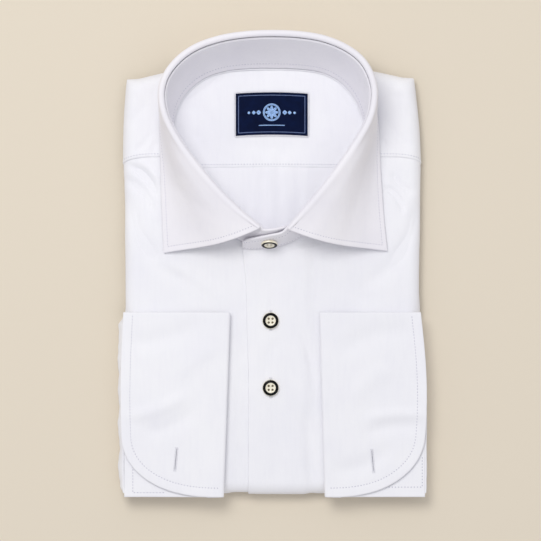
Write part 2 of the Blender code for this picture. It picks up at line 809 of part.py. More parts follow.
def cuff(cut, finish, collection):
    """A double cuff: its lower half on the body, a fold near the closing, its upper half back."""
    half = CUFF_WALL / 2
    low = CUFF_LIFT + half
    high = low + CUFF_STEP
    fold_radius = CUFF_STEP / 2

    def section(share, offset):
        y = mix(CUFF_TOP_Y, CUFF_FOOT_Y, share)
        fold_x = cut.fold_x + cut.fold_slant * share + fold_radius + half
        free_x = cuff_free_x(cut, share)
        line = []
        for number in range(CUFF_COLUMNS + 1):
            x = cut.side * mix(cut.base_x, fold_x, number / CUFF_COLUMNS)
            line.append(Vector((x, y, flat_height(x, y, low - offset))))
        centre = flat_height(cut.side * fold_x, y, low + fold_radius)
        radius = fold_radius + offset
        for turn in (-0.5, 0.0, 0.5):
            angle = turn * math.pi / 2
            x = cut.side * (fold_x - radius * math.cos(angle))
            line.append(Vector((x, y, centre + radius * math.sin(angle))))
        for number in range(CUFF_COLUMNS + 1):
            x = cut.side * mix(fold_x, free_x, number / CUFF_COLUMNS)
            line.append(Vector((x, y, flat_height(x, y, high + offset))))
        return line

    inside = [section(share, -half) for share in CUFF_ROWS]
    outside = [section(share, half) for share in CUFF_ROWS]
    wall(f"cuff_{cut.name}", inside, outside, finish, collection)


def sleeve_bulge(side, y):
    """How far the sleeve's folds push it out, which is nothing at its two ends."""
    share = 1.0 if side < 0 else LEFT_SLEEVE_SHARE
    full = smooth_step(SLEEVE_TOP_Y - SLEEVE_FULL_FROM, SLEEVE_TOP_Y - SLEEVE_FULL_AT, y)
    full *= smooth_step(SLEEVE_FOOT_Y, SLEEVE_FOOT_Y + SLEEVE_FULL_FROM, y)
    folds = sum(
        fold.depth * math.exp(-(((y - fold.y) / fold.half_width) ** 2)) for fold in SLEEVE_FOLDS
    )
    return share * full * (SLEEVE_FULLNESS + folds)


def sleeve(cut, finish, collection):
    """The sleeve's last stretch: from the cuff's end round the body's side to the underside."""
    side = cut.side
    count = SLEEVE_ROWS if side < 0 else SLEEVE_ROWS // 2
    middle = []
    for number in range(count + 1):
        y = mix(SLEEVE_TOP_Y, SLEEVE_FOOT_Y, number / count)
        near = abs(side_line(side, y)) + FOLD_RADIUS + FRONT_TOP + GAP + SLEEVE_WALL / 2
        start_x = cut.base_x + GAP + SLEEVE_WALL / 2
        top = flat_height(side * start_x, y, CUFF_LIFT + CUFF_WALL / 2)
        bulge = sleeve_bulge(side, y)
        line = []
        for drop, slack, fullness in (
            (0.0, 0.0, 0.0),
            (0.12, 0.5, 0.5),
            (0.3, 0.9, 0.9),
            (0.55, 1.0, 1.0),
            (0.8, 0.7, 0.8),
            (1.0, 0.0, 0.4),
        ):
            x = mix(start_x, near, smooth_step(0.0, 0.5, drop)) + SLEEVE_SLACK * slack
            x += bulge * fullness
            line.append(Vector((side * x, y, mix(top, SLEEVE_WALL, drop))))
        middle.append(line)
    thick_sheet(f"sleeve_{cut.name}", middle, SLEEVE_WALL, finish, collection)


# Buttons and label


def button_profile():
    """Half of a button's section, from the middle of its top down its outer side."""
    top, dish = BUTTON_THICK, BUTTON_THICK - BUTTON_DISH_DEPTH
    return (
        (0.0, dish),
        (BUTTON_DISH_RADIUS - BUTTON_EDGE, dish),
        (BUTTON_DISH_RADIUS, top - 0.1),
        (mix(BUTTON_DISH_RADIUS, BUTTON_RADIUS, 0.4), top),
        (BUTTON_RADIUS - BUTTON_EDGE, top - 0.15),
        (BUTTON_RADIUS, top - 0.8),
        (BUTTON_RADIUS - 0.2, 0.5),
        (BUTTON_RADIUS - 1.2, 0.0),
        (0.0, 0.0),
    )


def hole_cutter(cutters):
    """The four thread holes, as one set of pegs."""
    build = bmesh.new()
    for x_side in (-1, 1):
        for y_side in (-1, 1):
            place = Vector((x_side, y_side, 0)) * BUTTON_HOLE_OFFSET
            place.z = BUTTON_THICK / 2
            bmesh.ops.create_cone(
                build,
                cap_ends=True,
                segments=8,
                radius1=BUTTON_HOLE_RADIUS * METRES_PER_MM,
                radius2=BUTTON_HOLE_RADIUS * METRES_PER_MM,
                depth=2 * BUTTON_THICK * METRES_PER_MM,
                matrix=Matrix.Translation(place * METRES_PER_MM),
            )
    mesh = bpy.data.meshes.new("thread_holes")
    build.to_mesh(mesh)
    build.free()
    pegs = bpy.data.objects.new("thread_holes", mesh)
    pegs.hide_render = True
    pegs.display_type = "WIRE"
    cutters.objects.link(pegs)
    return pegs


def button(name, place, tilt, finish, collection, cutters):
    """A four-hole button, turned from its profile, with its face along +Z before the tilt."""
    profile = [Vector((x, 0, z)) * METRES_PER_MM for x, z in button_profile()]
    mesh = bpy.data.meshes.new(name)
    mesh.from_pydata(profile, [(i, i + 1) for i in range(len(profile) - 1)], [])
    made = bpy.data.objects.new(name, mesh)
    collection.objects.link(made)
    mesh.materials.append(finish)
    turn = made.modifiers.new("turn", "SCREW")
    turn.steps = BUTTON_SEGMENTS
    turn.render_steps = BUTTON_SEGMENTS
    turn.use_merge_vertices = True
    turn.merge_threshold = 0.00001
    turn.use_smooth_shade = True
    pegs = hole_cutter(cutters)
    cut = made.modifiers.new("thread_holes", "BOOLEAN")
    cut.object = pegs
    for each in (made, pegs):
        each.location = place * METRES_PER_MM
        each.rotation_euler = (tilt, 0.0, 0.0)
    return made


def front_buttons(finish, collection, cutters):
    for number, y in enumerate(BUTTON_YS, start=1):
        lift = FRONT_TOP + OVERLAP + GAP
        place = on_body(BUTTON_X, y, lift)
        button(f"button_{number}", place, 0.0, finish, collection, cutters)


def collar_button(finish, collection, cutters):
    """The button on the band's tab, square to the tab and half way up it."""
    xs = column(TAB_END, "seam_x")[::-1]
    foot_y = curve_value(xs, column(TAB_END, "seam_y")[::-1], COLLAR_BUTTON_X)
    xs = column(TAB_END, "top_x")[::-1]
    top_y = curve_value(xs, column(TAB_END, "top_y")[::-1], COLLAR_BUTTON_X)
    top_z = curve_value(xs, column(TAB_END, "top_z")[::-1], COLLAR_BUTTON_X)
    foot = band_foot(COLLAR_BUTTON_X, foot_y)
    top = Vector((COLLAR_BUTTON_X, top_y, top_z))
    rise = (top - foot).normalized()
    facing = Vector((1, 0, 0)).cross(rise).normalized() * -1
    place = foot.lerp(top, 0.5) + facing * -(BAND_WALL / 2 + GAP * 2)
    tilt = math.acos(-facing.z)
    button("button_collar", place, tilt, finish, collection, cutters)


def label(finish, collection):
    """The woven label on the inner yoke, its long edges bowed a little towards the collar."""
    columns, rows = 6, 3
    grids = []
    for lift in (BACK_LIFT + PLY + GAP, BACK_LIFT + PLY + GAP + LABEL_WALL):
        grid = []
        for row in range(rows + 1):
            line = []
            for number in range(columns + 1):
                x = mix(*LABEL_X, number / columns)
                bow = LABEL_BOW * (1 - (2 * number / columns - 1) ** 2)
                y = mix(*LABEL_Y, row / rows) + bow
                line.append(on_body(x, y, lift))
            grid.append(line)
        grids.append(grid)
    wall("label", grids[0], grids[1], finish, collection)


def main():
    for old in list(bpy.data.objects):
        bpy.data.objects.remove(old)
    collection = bpy.data.collections.new(COLLECTION)
    cutters = bpy.data.collections.new("cutters")
    for made in (collection, cutters):
        bpy.context.scene.collection.children.link(made)

    def cloth(name, colour=(0.86, 0.86, 0.92), roughness=0.75):
        return material(name, colour, roughness)

    folded_core(cloth("hidden_layers"), collection)
    back_panel(cloth("back_cotton"), collection)
    yoke_inner(cloth("yoke_inside_cotton"), collection)
    yoke_outer(cloth("yoke_cotton"), collection)
    front("front_right", -1, cloth("right_front_cotton"), collection)
    front("front_left", 1, cloth("left_front_cotton"), collection)
    collar_band(cloth("band_cotton", (0.76, 0.75, 0.79)), collection)
    collar_leaf(cloth("leaf_cotton", (0.86, 0.84, 0.86)), collection)
    for each in CUFFS:
        cuff(each, cloth(f"{each.name}_cuff_cotton", roughness=0.7), collection)
        sleeve(each, cloth(f"{each.name}_sleeve_cotton"), collection)
    label(cloth("label_satin", (0.004, 0.009, 0.04), 0.5), collection)
    button_finish = material("button_horn", (0.004, 0.006, 0.008), 0.15)
    front_buttons(button_finish, collection, cutters)
    collar_button(material("collar_button_horn", (0.004, 0.006, 0.008), 0.15), collection, cutters)


main()
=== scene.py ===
"""Looks of a long sleeve dress shirt with double cuffs, folded for display and lying on its back.

Every sheet of cloth is a thin closed shell on the form of its CAD solid, with its creases, seams
and stitches. Sizes are in millimetres in this script, in the frame of the CAD: +Y runs from the
tail fold to the collar, +X to the wearer's left and +Z up. plain_mesh() turns points into metres.
The lights' places and the camera's clipping are in metres. Where a value is kept by side, -1 is
the wearer's right and 1 the left.
"""

import math
from collections import namedtuple

import bmesh
import bpy
import numpy as np
from mathutils import Matrix, Vector


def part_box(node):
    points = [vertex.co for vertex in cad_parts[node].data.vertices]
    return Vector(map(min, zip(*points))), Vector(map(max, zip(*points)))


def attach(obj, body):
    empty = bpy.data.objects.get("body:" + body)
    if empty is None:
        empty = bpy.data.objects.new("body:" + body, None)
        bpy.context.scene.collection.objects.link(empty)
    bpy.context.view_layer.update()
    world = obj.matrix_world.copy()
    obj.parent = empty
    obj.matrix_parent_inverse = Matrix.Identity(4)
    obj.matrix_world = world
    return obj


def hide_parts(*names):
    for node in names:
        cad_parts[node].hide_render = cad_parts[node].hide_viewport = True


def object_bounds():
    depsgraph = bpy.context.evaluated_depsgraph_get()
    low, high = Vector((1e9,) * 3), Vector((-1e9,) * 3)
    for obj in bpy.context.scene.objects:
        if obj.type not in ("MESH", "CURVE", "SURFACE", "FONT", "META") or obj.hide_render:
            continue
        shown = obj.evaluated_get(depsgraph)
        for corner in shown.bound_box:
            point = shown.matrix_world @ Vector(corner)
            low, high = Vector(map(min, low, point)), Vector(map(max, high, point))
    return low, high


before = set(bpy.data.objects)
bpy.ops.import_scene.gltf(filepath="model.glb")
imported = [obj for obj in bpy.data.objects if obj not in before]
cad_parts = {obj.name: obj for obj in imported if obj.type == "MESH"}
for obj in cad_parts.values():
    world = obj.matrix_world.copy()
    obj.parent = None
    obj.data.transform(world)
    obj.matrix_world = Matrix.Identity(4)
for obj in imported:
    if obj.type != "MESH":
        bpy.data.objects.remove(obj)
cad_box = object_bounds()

MM = 0.001


def box_mm(node):
    """A CAD node's lowest and highest corners, in millimetres."""
    low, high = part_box(node)
    return np.array(low) / MM, np.array(high) / MM


# The walls of the CAD, which the shells keep.
GAP = 0.3
PLY = 1.0
BAND_WALL = 1.8
LEAF_WALL = 1.6
CUFF_WALL = 1.8
SLEEVE_WALL = 1.2
LABEL_WALL = 0.6

# The folded body: half of its stack's height, its swell, and the lines where its folds begin.
FOLD_RADIUS = 6.5
CROWN = 3.0
CORNER_ROUND = 0.06
BACK_LIFT = GAP
FRONT_LIFT = BACK_LIFT + PLY + GAP
FRONT_TOP = FRONT_LIFT + PLY
OVERLAP = PLY + GAP
CUFF_LIFT = FRONT_TOP + GAP
CUFF_STEP = CUFF_WALL + 0.4
FOLD_REACH = FOLD_RADIUS + FRONT_TOP
QUARTER = (FOLD_RADIUS + FRONT_LIFT) * math.pi / 2
WRAP = 0.95 * QUARTER
BACK_WRAP = 0.75 * QUARTER
TAIL_LINE = box_mm("front_right")[0][1] + FOLD_REACH
SHOULDER_Y = box_mm("yoke_outer")[1][1]
SHOULDER_DROP = 15.5
SHOULDER_REACH = 108.0

Side = namedtuple("Side", "y minus_x plus_x")
SIDES = (
    Side(-170.0, -107.8, 108.2),
    Side(-35.0, -109.0, 108.9),
    Side(40.0, -109.3, 109.4),
    Side(88.0, -110.3, 109.0),
    Side(136.0, -108.0, 104.8),
)

# The closing, the neck and the yoke seams.
UNDERLAP_X = 13.0
OVERLAP_FLAT_X = 22.0
OVERLAP_END_X = 31.0
Closing = namedtuple("Closing", "y edge_x")
PLACKET = (
    Closing(-170.0, -17.9),
    Closing(-83.0, -17.7),
    Closing(-45.0, -18.8),
    Closing(-21.0, -19.2),
    Closing(11.0, -22.0),
)
NECK_FRONT_Y = 11.5
RIGHT_NECK_CORNER_X = -24.0
RIGHT_NECK_CORNER_Y = 12.0
NECK_TURN_Y = 22.0
NECK_TURN_HASTE = 2.2
YOKE_SEAM_Y = 79.0
YOKE_SEAM_FALL = 3.2
YOKE_SEAM_FALL_FROM = 88.0
YOKE_SEAM_FALL_POWER = 2.4
SEAM_LAP = 0.6
INNER_SEAM_Y = 70.0
INNER_SEAM_BOW = 1.6

# The collar: the band's foot, the fold and the leaf's edge, from the right front round the back.
Station = namedtuple("Station", "seam_x seam_y fold_x fold_y fold_z edge_x edge_y")
COLLAR = (
    Station(-22.0, 17.0, -9.5, 26.2, 45.0, -80.0, 7.8),
    Station(-38.5, 26.5, -26.6, 39.8, 46.0, -80.8, 29.0),
    Station(-55.0, 41.5, -42.1, 55.2, 47.0, -81.4, 49.0),
    Station(-66.5, 60.0, -57.4, 73.6, 48.5, -81.9, 68.0),
    Station(-72.3, 77.0, -69.4, 90.3, 49.5, -82.2, 86.0),
    Station(-73.6, 94.0, -78.2, 107.3, 50.5, -82.0, 103.5),
    Station(-72.2, 107.5, -81.0, 123.0, 51.0, -80.3, 121.5),
    Station(-67.8, 119.5, -77.8, 136.4, 51.5, -77.3, 136.0),
    Station(-60.0, 129.5, -68.4, 148.7, 51.5, -68.9, 148.2),
    Station(-48.5, 137.5, -55.2, 157.8, 51.5, -55.7, 156.4),
    Station(-34.0, 142.2, -37.8, 163.8, 51.5, -38.0, 161.8),
    Station(-17.0, 143.9, -19.0, 166.8, 51.5, -19.0, 164.4),
    Station(1.0, 144.1, 0.0, 167.6, 51.5, 0.0, 165.1),
    Station(19.0, 143.6, 19.0, 166.8, 51.5, 19.0, 164.4),
    Station(35.0, 141.3, 37.0, 163.8, 51.5, 37.0, 161.9),
    Station(47.5, 135.6, 53.3, 157.2, 51.5, 53.8, 156.2),
    Station(57.0, 126.5, 65.3, 147.8, 51.5, 66.0, 147.4),
    Station(63.5, 116.0, 72.2, 135.2, 51.5, 72.0, 135.3),
    Station(67.3, 104.0, 74.2, 121.5, 51.0, 74.6, 120.5),
    Station(69.0, 90.0, 70.6, 105.0, 50.5, 76.8, 104.0),
    Station(67.3, 74.0, 61.0, 87.7, 49.5, 78.2, 86.5),
    Station(61.5, 57.0, 49.0, 70.0, 48.5, 79.2, 68.0),
    Station(51.5, 40.5, 36.6, 53.7, 47.0, 80.6, 48.5),
    Station(36.5, 27.5, 23.8, 38.7, 46.0, 82.2, 29.0),
    Station(20.0, 19.6, 11.5, 25.2, 45.0, 84.4, 9.3),
)
LAST = len(COLLAR) - 1
BandEnd = namedtuple("BandEnd", "seam_x seam_y top_x top_y top_z")
UNDER_END = (
    BandEnd(12.0, 20.2, 12.0, 27.6, 36.0),
    BandEnd(9.0, 18.9, 8.5, 27.0, 40.5),
    BandEnd(0.0, 16.6, 0.5, 25.4, 41.8),
    BandEnd(-11.0, 15.9, -6.5, 25.2, 42.5),
)
TAB_END = (
    BandEnd(11.0, 15.6, 6.0, 22.9, 41.5),
    BandEnd(1.0, 12.9, -3.0, 21.0, 40.3),
    BandEnd(-9.0, 11.7, -11.0, 19.4, 37.8),
    BandEnd(-18.0, 11.3, -18.0, 18.0, 34.2),
    BandEnd(-22.3, 12.4, -22.3, 16.6, 29.0),
)
BAND_FOOT = 0.55
ROLL_HALF_WIDTH = 1.7
ROLL_RISE = 1.3
ROLL_END_SHARE = 0.35
ROLL_END_STATIONS = 1.3
BAND_INSET = 1.1
BAND_TOP_DROP = 1.9
LEAF_START_DROP = 1.0
LEAF_BULGE = 1.6
LEAF_FOOT = 1.3
LEAF_SET_BACK = 4.0
LEAF_HANG_Z = 1.8
LEAF_WAVE = 2.0
LEAF_FLAT_FROM = 4.0
LEAF_FLAT_AT = 25.0
LEAF_FRONT_BOW = 2.6
LEAF_FRONT_BOW_STATIONS = 1.5
NECK_RIM = 1.4
NECK_MIDDLE_Y = 85.0

# Double cuffs and sleeves.
CUFF_TOP_Y = box_mm("cuff_left")[1][1]
CUFF_FOOT_Y = box_mm("cuff_left")[0][1]
Cuff = namedtuple("Cuff", "name side fold_x fold_slant outer_x outer_bow base_x")
CUFFS = (
    Cuff("right", -1, 30.9, 4.8, 109.6, 2.1, 109.1),
    Cuff("left", 1, 34.3, 4.0, 108.9, 4.5, 112.2),
)
CUFF_CORNER = 46.0
CUFF_CORNER_POWER = 2.3
SLEEVE_TOP_Y = box_mm("sleeve_left")[1][1]
SLEEVE_FOOT_Y = box_mm("sleeve_left")[0][1]
SLEEVE_SLACK = 0.6
SLEEVE_TUCK = 0.25
SLEEVE_FULLNESS = 2.4
SLEEVE_FULL_FROM = 0.5
SLEEVE_FULL_AT = 5.0
SleeveFold = namedtuple("SleeveFold", "y half_width depth")
SLEEVE_FOLDS = (
    SleeveFold(-70.0, 9.0, 0.9),
    SleeveFold(-93.0, 6.0, 1.1),
    SleeveFold(-119.0, 8.0, 1.3),
    SleeveFold(-149.0, 7.0, 1.5),
)
LEFT_SLEEVE_SHARE = 0.4
SLEEVE_HEIGHT = 17.0
SLEEVE_DROPS = (0.0, 0.12, 0.3, 0.55, 0.8, 1.0)


# Curves and fields


def column(rows, name):
    return [getattr(row, name) for row in rows]


def curve(xs, ys, x):
    """The smooth curve through the points (xs, ys), which runs straight on past its ends."""
    xs, ys, x = (np.asarray(values, float) for values in (xs, ys, x))
    slopes = np.empty(len(xs))
    slopes[1:-1] = (ys[2:] - ys[:-2]) / (xs[2:] - xs[:-2])
    slopes[0] = (ys[1] - ys[0]) / (xs[1] - xs[0])
    slopes[-1] = (ys[-1] - ys[-2]) / (xs[-1] - xs[-2])
    at = np.clip(np.searchsorted(xs, x, side="right") - 1, 0, len(xs) - 2)
    span = xs[at + 1] - xs[at]
    t = (x - xs[at]) / span
    inside = (
        (1 + 2 * t) * (1 - t) ** 2 * ys[at]
        + t * (1 - t) ** 2 * span * slopes[at]
        + t * t * (3 - 2 * t) * ys[at + 1]
        + t * t * (t - 1) * span * slopes[at + 1]
    )
    before = ys[0] + slopes[0] * (x - xs[0])
    after = ys[-1] + slopes[-1] * (x - xs[-1])
    return np.where(x < xs[0], before, np.where(x > xs[-1], after, inside))


def smooth_step(start, end, x):
    """0 up to start and 1 from end, which may lie on either side of it."""
    t = np.clip((x - start) / (end - start), 0.0, 1.0)
    return t * t * (3 - 2 * t)


def mix(a, b, t):
    return a + (b - a) * t


def bell(x, middle, half_width):
    return np.exp(-(((x - middle) / half_width) ** 2))


def side_line(side, y):
    """x where the flat top ends and a side fold starts to turn."""
    plus = curve(column(SIDES, "y"), column(SIDES, "plus_x"), y)
    minus = curve(column(SIDES, "y"), column(SIDES, "minus_x"), y)
    return np.where(side > 0, plus, minus) - side * FOLD_REACH


def shoulder_line(x):
    return SHOULDER_Y - SHOULDER_DROP * (x / SHOULDER_REACH) ** 2 - FOLD_REACH


def crown(x, y):
    across = x / side_line(np.where(x < 0, -1.0, 1.0), y)
    along = (2 * y - TAIL_LINE - shoulder_line(x)) / (shoulder_line(x) - TAIL_LINE)
    return CROWN * np.maximum(0.0, 1 - across**2) * np.maximum(0.0, 1 - along**2)


def body(u, v, lift):
    """Points of the body's surface, raised by lift.

    u and v are x and y seen from above. Past the lines where the folds begin they are lengths
    round the folds, so a sheet is laid out flat in u and v and wraps the body.
    """
    u, v, lift = np.broadcast_arrays(*(np.asarray(value, float) for value in (u, v, lift)))
    side = np.where(u < 0, -1.0, 1.0)
    line = np.abs(side_line(side, np.clip(v, TAIL_LINE, SHOULDER_Y)))
    past_side = np.maximum(np.abs(u) - line, 0.0)
    x = u - side * past_side
    past_end = np.maximum(v - shoulder_line(x), 0.0) - np.maximum(TAIL_LINE - v, 0.0)
    y = v - past_end
    side_turn = np.minimum(past_side / QUARTER, 1.0) * math.pi / 2
    end_turn = np.minimum(np.abs(past_end) / QUARTER, 1.0) * math.pi / 2
    shrink = 1 - CORNER_ROUND * np.sin(side_turn) * np.sin(end_turn)
    reach = (FOLD_RADIUS + lift) * shrink
    height = np.cos(side_turn) * np.cos(end_turn)
    return np.stack(
        (
            x + side * reach * np.sin(side_turn),
            y + np.sign(past_end) * reach * np.sin(end_turn),
            FOLD_RADIUS + (FOLD_RADIUS + lift + crown(x, y)) * height,
        ),
        axis=-1,
    )


def laid_out_y(x, y):
    """v of a place seen from above, which may be on the shoulder fold."""
    past = np.clip((y - shoulder_line(x)) / FOLD_REACH, 0.0, 1.0)
    return np.where(past > 0, shoulder_line(x) + np.arcsin(past) * QUARTER * 2 / math.pi, y)


def body_height(x, y, lift):
    """The body's height at a place seen from above, raised by lift, and 0 off the body."""
    side = np.where(x < 0, -1.0, 1.0)
    out_side = np.maximum(0.0, side * (x - side_line(side, y)))
    out_end = np.maximum(0.0, np.maximum(y - shoulder_line(x), TAIL_LINE - y))
    radius = FOLD_RADIUS + lift
    fall = (1 - (out_side / radius) ** 2) * (1 - (out_end / radius) ** 2)
    height = FOLD_RADIUS + (radius + crown(x, y)) * np.sqrt(np.maximum(fall, 0.0))
    return np.where(np.maximum(out_side, out_end) >= radius, 0.0, height)


def overlap_lift(x):
    """The left front's rise over the right front's closing edge."""
    return OVERLAP * (1 - smooth_step(OVERLAP_FLAT_X, OVERLAP_END_X, x))


def yoke_seam_y(x):
    """The yoke seam, level near the neck and falling ever faster round the side folds."""
    past = np.maximum(np.abs(x) - YOKE_SEAM_FALL_FROM, 0.0)
    share = past / (SHOULDER_REACH - YOKE_SEAM_FALL_FROM)
    return YOKE_SEAM_Y - YOKE_SEAM_FALL * share**YOKE_SEAM_FALL_POWER


def inner_seam_y(x):
    return INNER_SEAM_Y + INNER_SEAM_BOW * (1 - (x / SHOULDER_REACH) ** 2)


def neck_rim(index):
    """The neck hole in the fronts and the yoke, a little inside the band's foot."""
    x = curve(range(LAST + 1), column(COLLAR, "seam_x"), index)
    y = curve(range(LAST + 1), column(COLLAR, "seam_y"), index)
    inward = np.stack((-x, NECK_MIDDLE_Y - y))
    inward = inward / np.linalg.norm(inward, axis=0) * NECK_RIM
    return x + inward[0], y + inward[1]


def neck_rim_x(side, y):
    """x of the neck hole's edge on one front, for a y below the widest part of the neck."""
    stations = np.arange(0, 5) if side < 0 else np.arange(LAST, LAST - 5, -1)
    xs, ys = neck_rim(stations)
    if side > 0:
        foot = TAB_END[2::-1]
        corner_x = curve(column(PLACKET, "y"), column(PLACKET, "edge_x"), NECK_FRONT_Y)
        xs = np.concatenate(([corner_x], column(foot, "seam_x"), xs))
        ys = np.concatenate(([NECK_FRONT_Y], np.array(column(foot, "seam_y")) + NECK_RIM, ys))
    return curve(ys, xs, y)


def front_edge_x(side, y):
    """x of a front's inner edge: its closing edge, and above that the neck hole."""
    if side > 0:
        closing = curve(column(PLACKET, "y"), column(PLACKET, "edge_x"), y)
        return np.where(y > NECK_FRONT_Y, neck_rim_x(side, y), closing)
    share = (y - RIGHT_NECK_CORNER_Y) / (NECK_TURN_Y - RIGHT_NECK_CORNER_Y)
    share = np.clip(share, 0.0, 1.0)
    slanted = mix(RIGHT_NECK_CORNER_X, neck_rim_x(side, NECK_TURN_Y), share)
    turning = mix(UNDERLAP_X, slanted, np.minimum(1.0, NECK_TURN_HASTE * share))
    return np.where(y >= NECK_TURN_Y, neck_rim_x(side, y), turning)


# Creases: soft troughs, where depth is positive, and ridges, each along a bowed line.

Crease = namedtuple("Crease", "x0 y0 x1 y1 bow half_width depth")
FRONT_CREASES = (
    Crease(21.0, -48.0, 35.0, -108.0, 2.0, 3.2, 0.42),
    Crease(27.0, -52.0, 38.0, -96.0, 1.0, 4.5, -0.25),
    Crease(26.0, -108.0, 31.0, -160.0, -2.0, 5.0, 0.30),
    Crease(-24.0, -60.0, -28.0, -150.0, 1.5, 4.0, 0.22),
    Crease(-104.0, 72.0, -86.0, 52.0, 2.5, 2.6, 0.50),
    Crease(-98.0, 75.0, -84.0, 61.0, 1.5, 2.2, -0.30),
    Crease(-107.0, 62.0, -88.0, 40.0, 3.0, 3.4, 0.35),
    Crease(-103.0, 44.0, -90.0, 8.0, -3.0, 4.5, 0.32),
    Crease(-96.0, 18.0, -62.0, -14.0, -4.0, 6.0, 0.30),
    Crease(-84.0, 2.0, -38.0, -24.0, 3.0, 5.5, -0.28),
    Crease(84.0, 56.0, 96.0, 40.0, 2.0, 2.4, 0.45),
    Crease(88.0, 66.0, 103.0, 52.0, -1.5, 2.8, 0.36),
    Crease(104.0, 40.0, 92.0, 6.0, 3.0, 4.0, 0.34),
    Crease(98.0, 12.0, 66.0, -16.0, 3.0, 6.0, 0.32),
    Crease(40.0, -4.0, 74.0, -26.0, -4.0, 6.5, 0.25),
    Crease(-6.0, -6.0, 2.0, -34.0, 2.0, 5.0, 0.20),
    Crease(2.0, -58.0, -5.0, -82.0, -1.5, 5.0, 0.18),
    Crease(-2.0, -104.0, 4.0, -160.0, 2.5, 6.0, 0.22),
    Crease(-112.0, -30.0, -114.0, 60.0, 1.0, 2.2, 0.55),
    Crease(112.0, -20.0, 114.0, 66.0, -1.0, 2.4, 0.50),
    Crease(-60.0, -172.0, 40.0, -173.5, 0.8, 1.8, 0.40),
)
YOKE_CREASES = (
    Crease(-90.0, 96.0, -99.0, 84.0, 1.0, 2.0, 0.45),
    Crease(-86.0, 90.0, -89.0, 81.0, 0.5, 1.6, 0.40),
    Crease(-93.0, 118.0, -108.0, 104.0, 2.0, 4.0, 0.40),
    Crease(86.0, 104.0, 101.0, 86.0, -1.5, 3.0, 0.40),
    Crease(80.0, 92.0, 86.0, 81.0, 0.8, 2.0, 0.35),
    Crease(88.0, 124.0, 103.0, 112.0, 2.0, 3.6, 0.36),
)
INSIDE_CREASES = (
    Crease(-58.0, 118.0, -36.0, 78.0, 4.0, 4.5, 0.55),
    Crease(-50.0, 124.0, -32.0, 96.0, 3.0, 3.6, -0.40),
    Crease(-62.0, 98.0, -46.0, 76.0, 2.0, 4.0, 0.40),
    Crease(40.0, 122.0, 56.0, 84.0, -4.0, 5.0, 0.42),
    Crease(34.0, 88.0, 46.0, 74.0, 2.0, 4.0, 0.30),
    Crease(-22.0, 88.0, 24.0, 84.0, -1.5, 4.5, 0.22),
    Crease(-62.0, 121.0, -36.0, 141.0, -1.0, 1.1, 0.60),
    Crease(62.0, 112.0, 40.0, 135.0, 1.0, 1.1, 0.50),
)
BACK_CREASES = (
    Crease(-34.0, 68.0, -30.0, 44.0, 1.0, 2.6, 0.50),
    Crease(-8.0, 69.0, -7.0, 38.0, 0.8, 2.2, 0.80),
    Crease(5.0, 70.0, 6.5, 36.0, -0.8, 2.4, 0.85),
    Crease(19.0, 69.0, 19.0, 42.0, 0.6, 2.6, 0.60),
    Crease(38.0, 68.0, 33.0, 48.0, -1.0, 3.2, 0.45),
    Crease(-22.0, 69.0, -19.5, 50.0, 0.6, 2.0, 0.55),
)
Pleat = namedtuple("Pleat", "x half_width height")
PLEATS = (
    Pleat(-14.0, 5.0, 0.9),
    Pleat(-2.0, 4.5, 1.1),
    Pleat(12.0, 5.0, 1.0),
    Pleat(25.0, 5.0, 0.6),
)
PLEAT_LOW_Y = 20.0
PLEAT_FULL_Y = 34.0
CREASE_END_FADE = 0.22
FRONT_CREASE_STRENGTH = 3.8
YOKE_CREASE_STRENGTH = 2.0
CUFF_CREASE_STRENGTH = 2.6
BACK_CREASE_STRENGTH = 0.5


def creased(creases, x, y, strength=1.0):
    """How far a group of creases raises the cloth at x, y."""
    raised = np.zeros(np.broadcast(x, y).shape)
    for crease in creases:
        run = np.array((crease.x1 - crease.x0, crease.y1 - crease.y0))
        length = np.linalg.norm(run)
        along = ((x - crease.x0) * run[0] + (y - crease.y0) * run[1]) / length**2
        across = ((y - crease.y0) * run[0] - (x - crease.x0) * run[1]) / length
        across = across - crease.bow * 4 * along * (1 - along)
        fade = smooth_step(-CREASE_END_FADE, CREASE_END_FADE, along)
        fade = fade * smooth_step(1 + CREASE_END_FADE, 1 - CREASE_END_FADE, along)
        raised = raised - crease.depth * fade * np.exp(-((across / crease.half_width) ** 2))
    return raised * strength


def ripple(x, y, height, pitch, phase=0.0):
    """A gentle uneven swell: waves in several directions, none of which repeats another."""
    total = 0.0
    for number, (angle, stretch) in enumerate(((0.3, 1.0), (1.4, 1.37), (2.3, 0.71), (0.9, 2.03))):
        across = (x * math.cos(angle) + y * math.sin(angle)) * 2 * math.pi * stretch / pitch
        total = total + np.sin(across + phase + 1.9 * number) / (1 + number)
    return height * total / 2


# Meshes


def link(name, data):
    made = bpy.data.objects.new(name, data)
    bpy.context.scene.collection.objects.link(made)
    return made


def plain_mesh(name, points, faces):
    """A smooth mesh in metres from points in millimetres."""
    mesh = bpy.data.meshes.new(name)
    mesh.from_pydata((np.asarray(points) * MM).tolist(), [], faces)
    mesh.shade_smooth()
    return link(name, mesh)


def mesh_of(name, points, faces):
    """A smooth mesh in metres from points in millimetres, its faces turned outwards."""
    made = plain_mesh(name, points, faces)
    build = bmesh.new()
    build.from_mesh(made.data)
    bmesh.ops.recalc_face_normals(build, faces=build.faces)
    build.to_mesh(made.data)
    build.free()
    return made


def grid_faces(rows, columns, start=0):
    row, place = np.meshgrid(np.arange(rows - 1), np.arange(columns - 1), indexing="ij")
    first = (start + row * columns + place).ravel()
    return np.stack((first, first + 1, first + columns + 1, first + columns), axis=1)


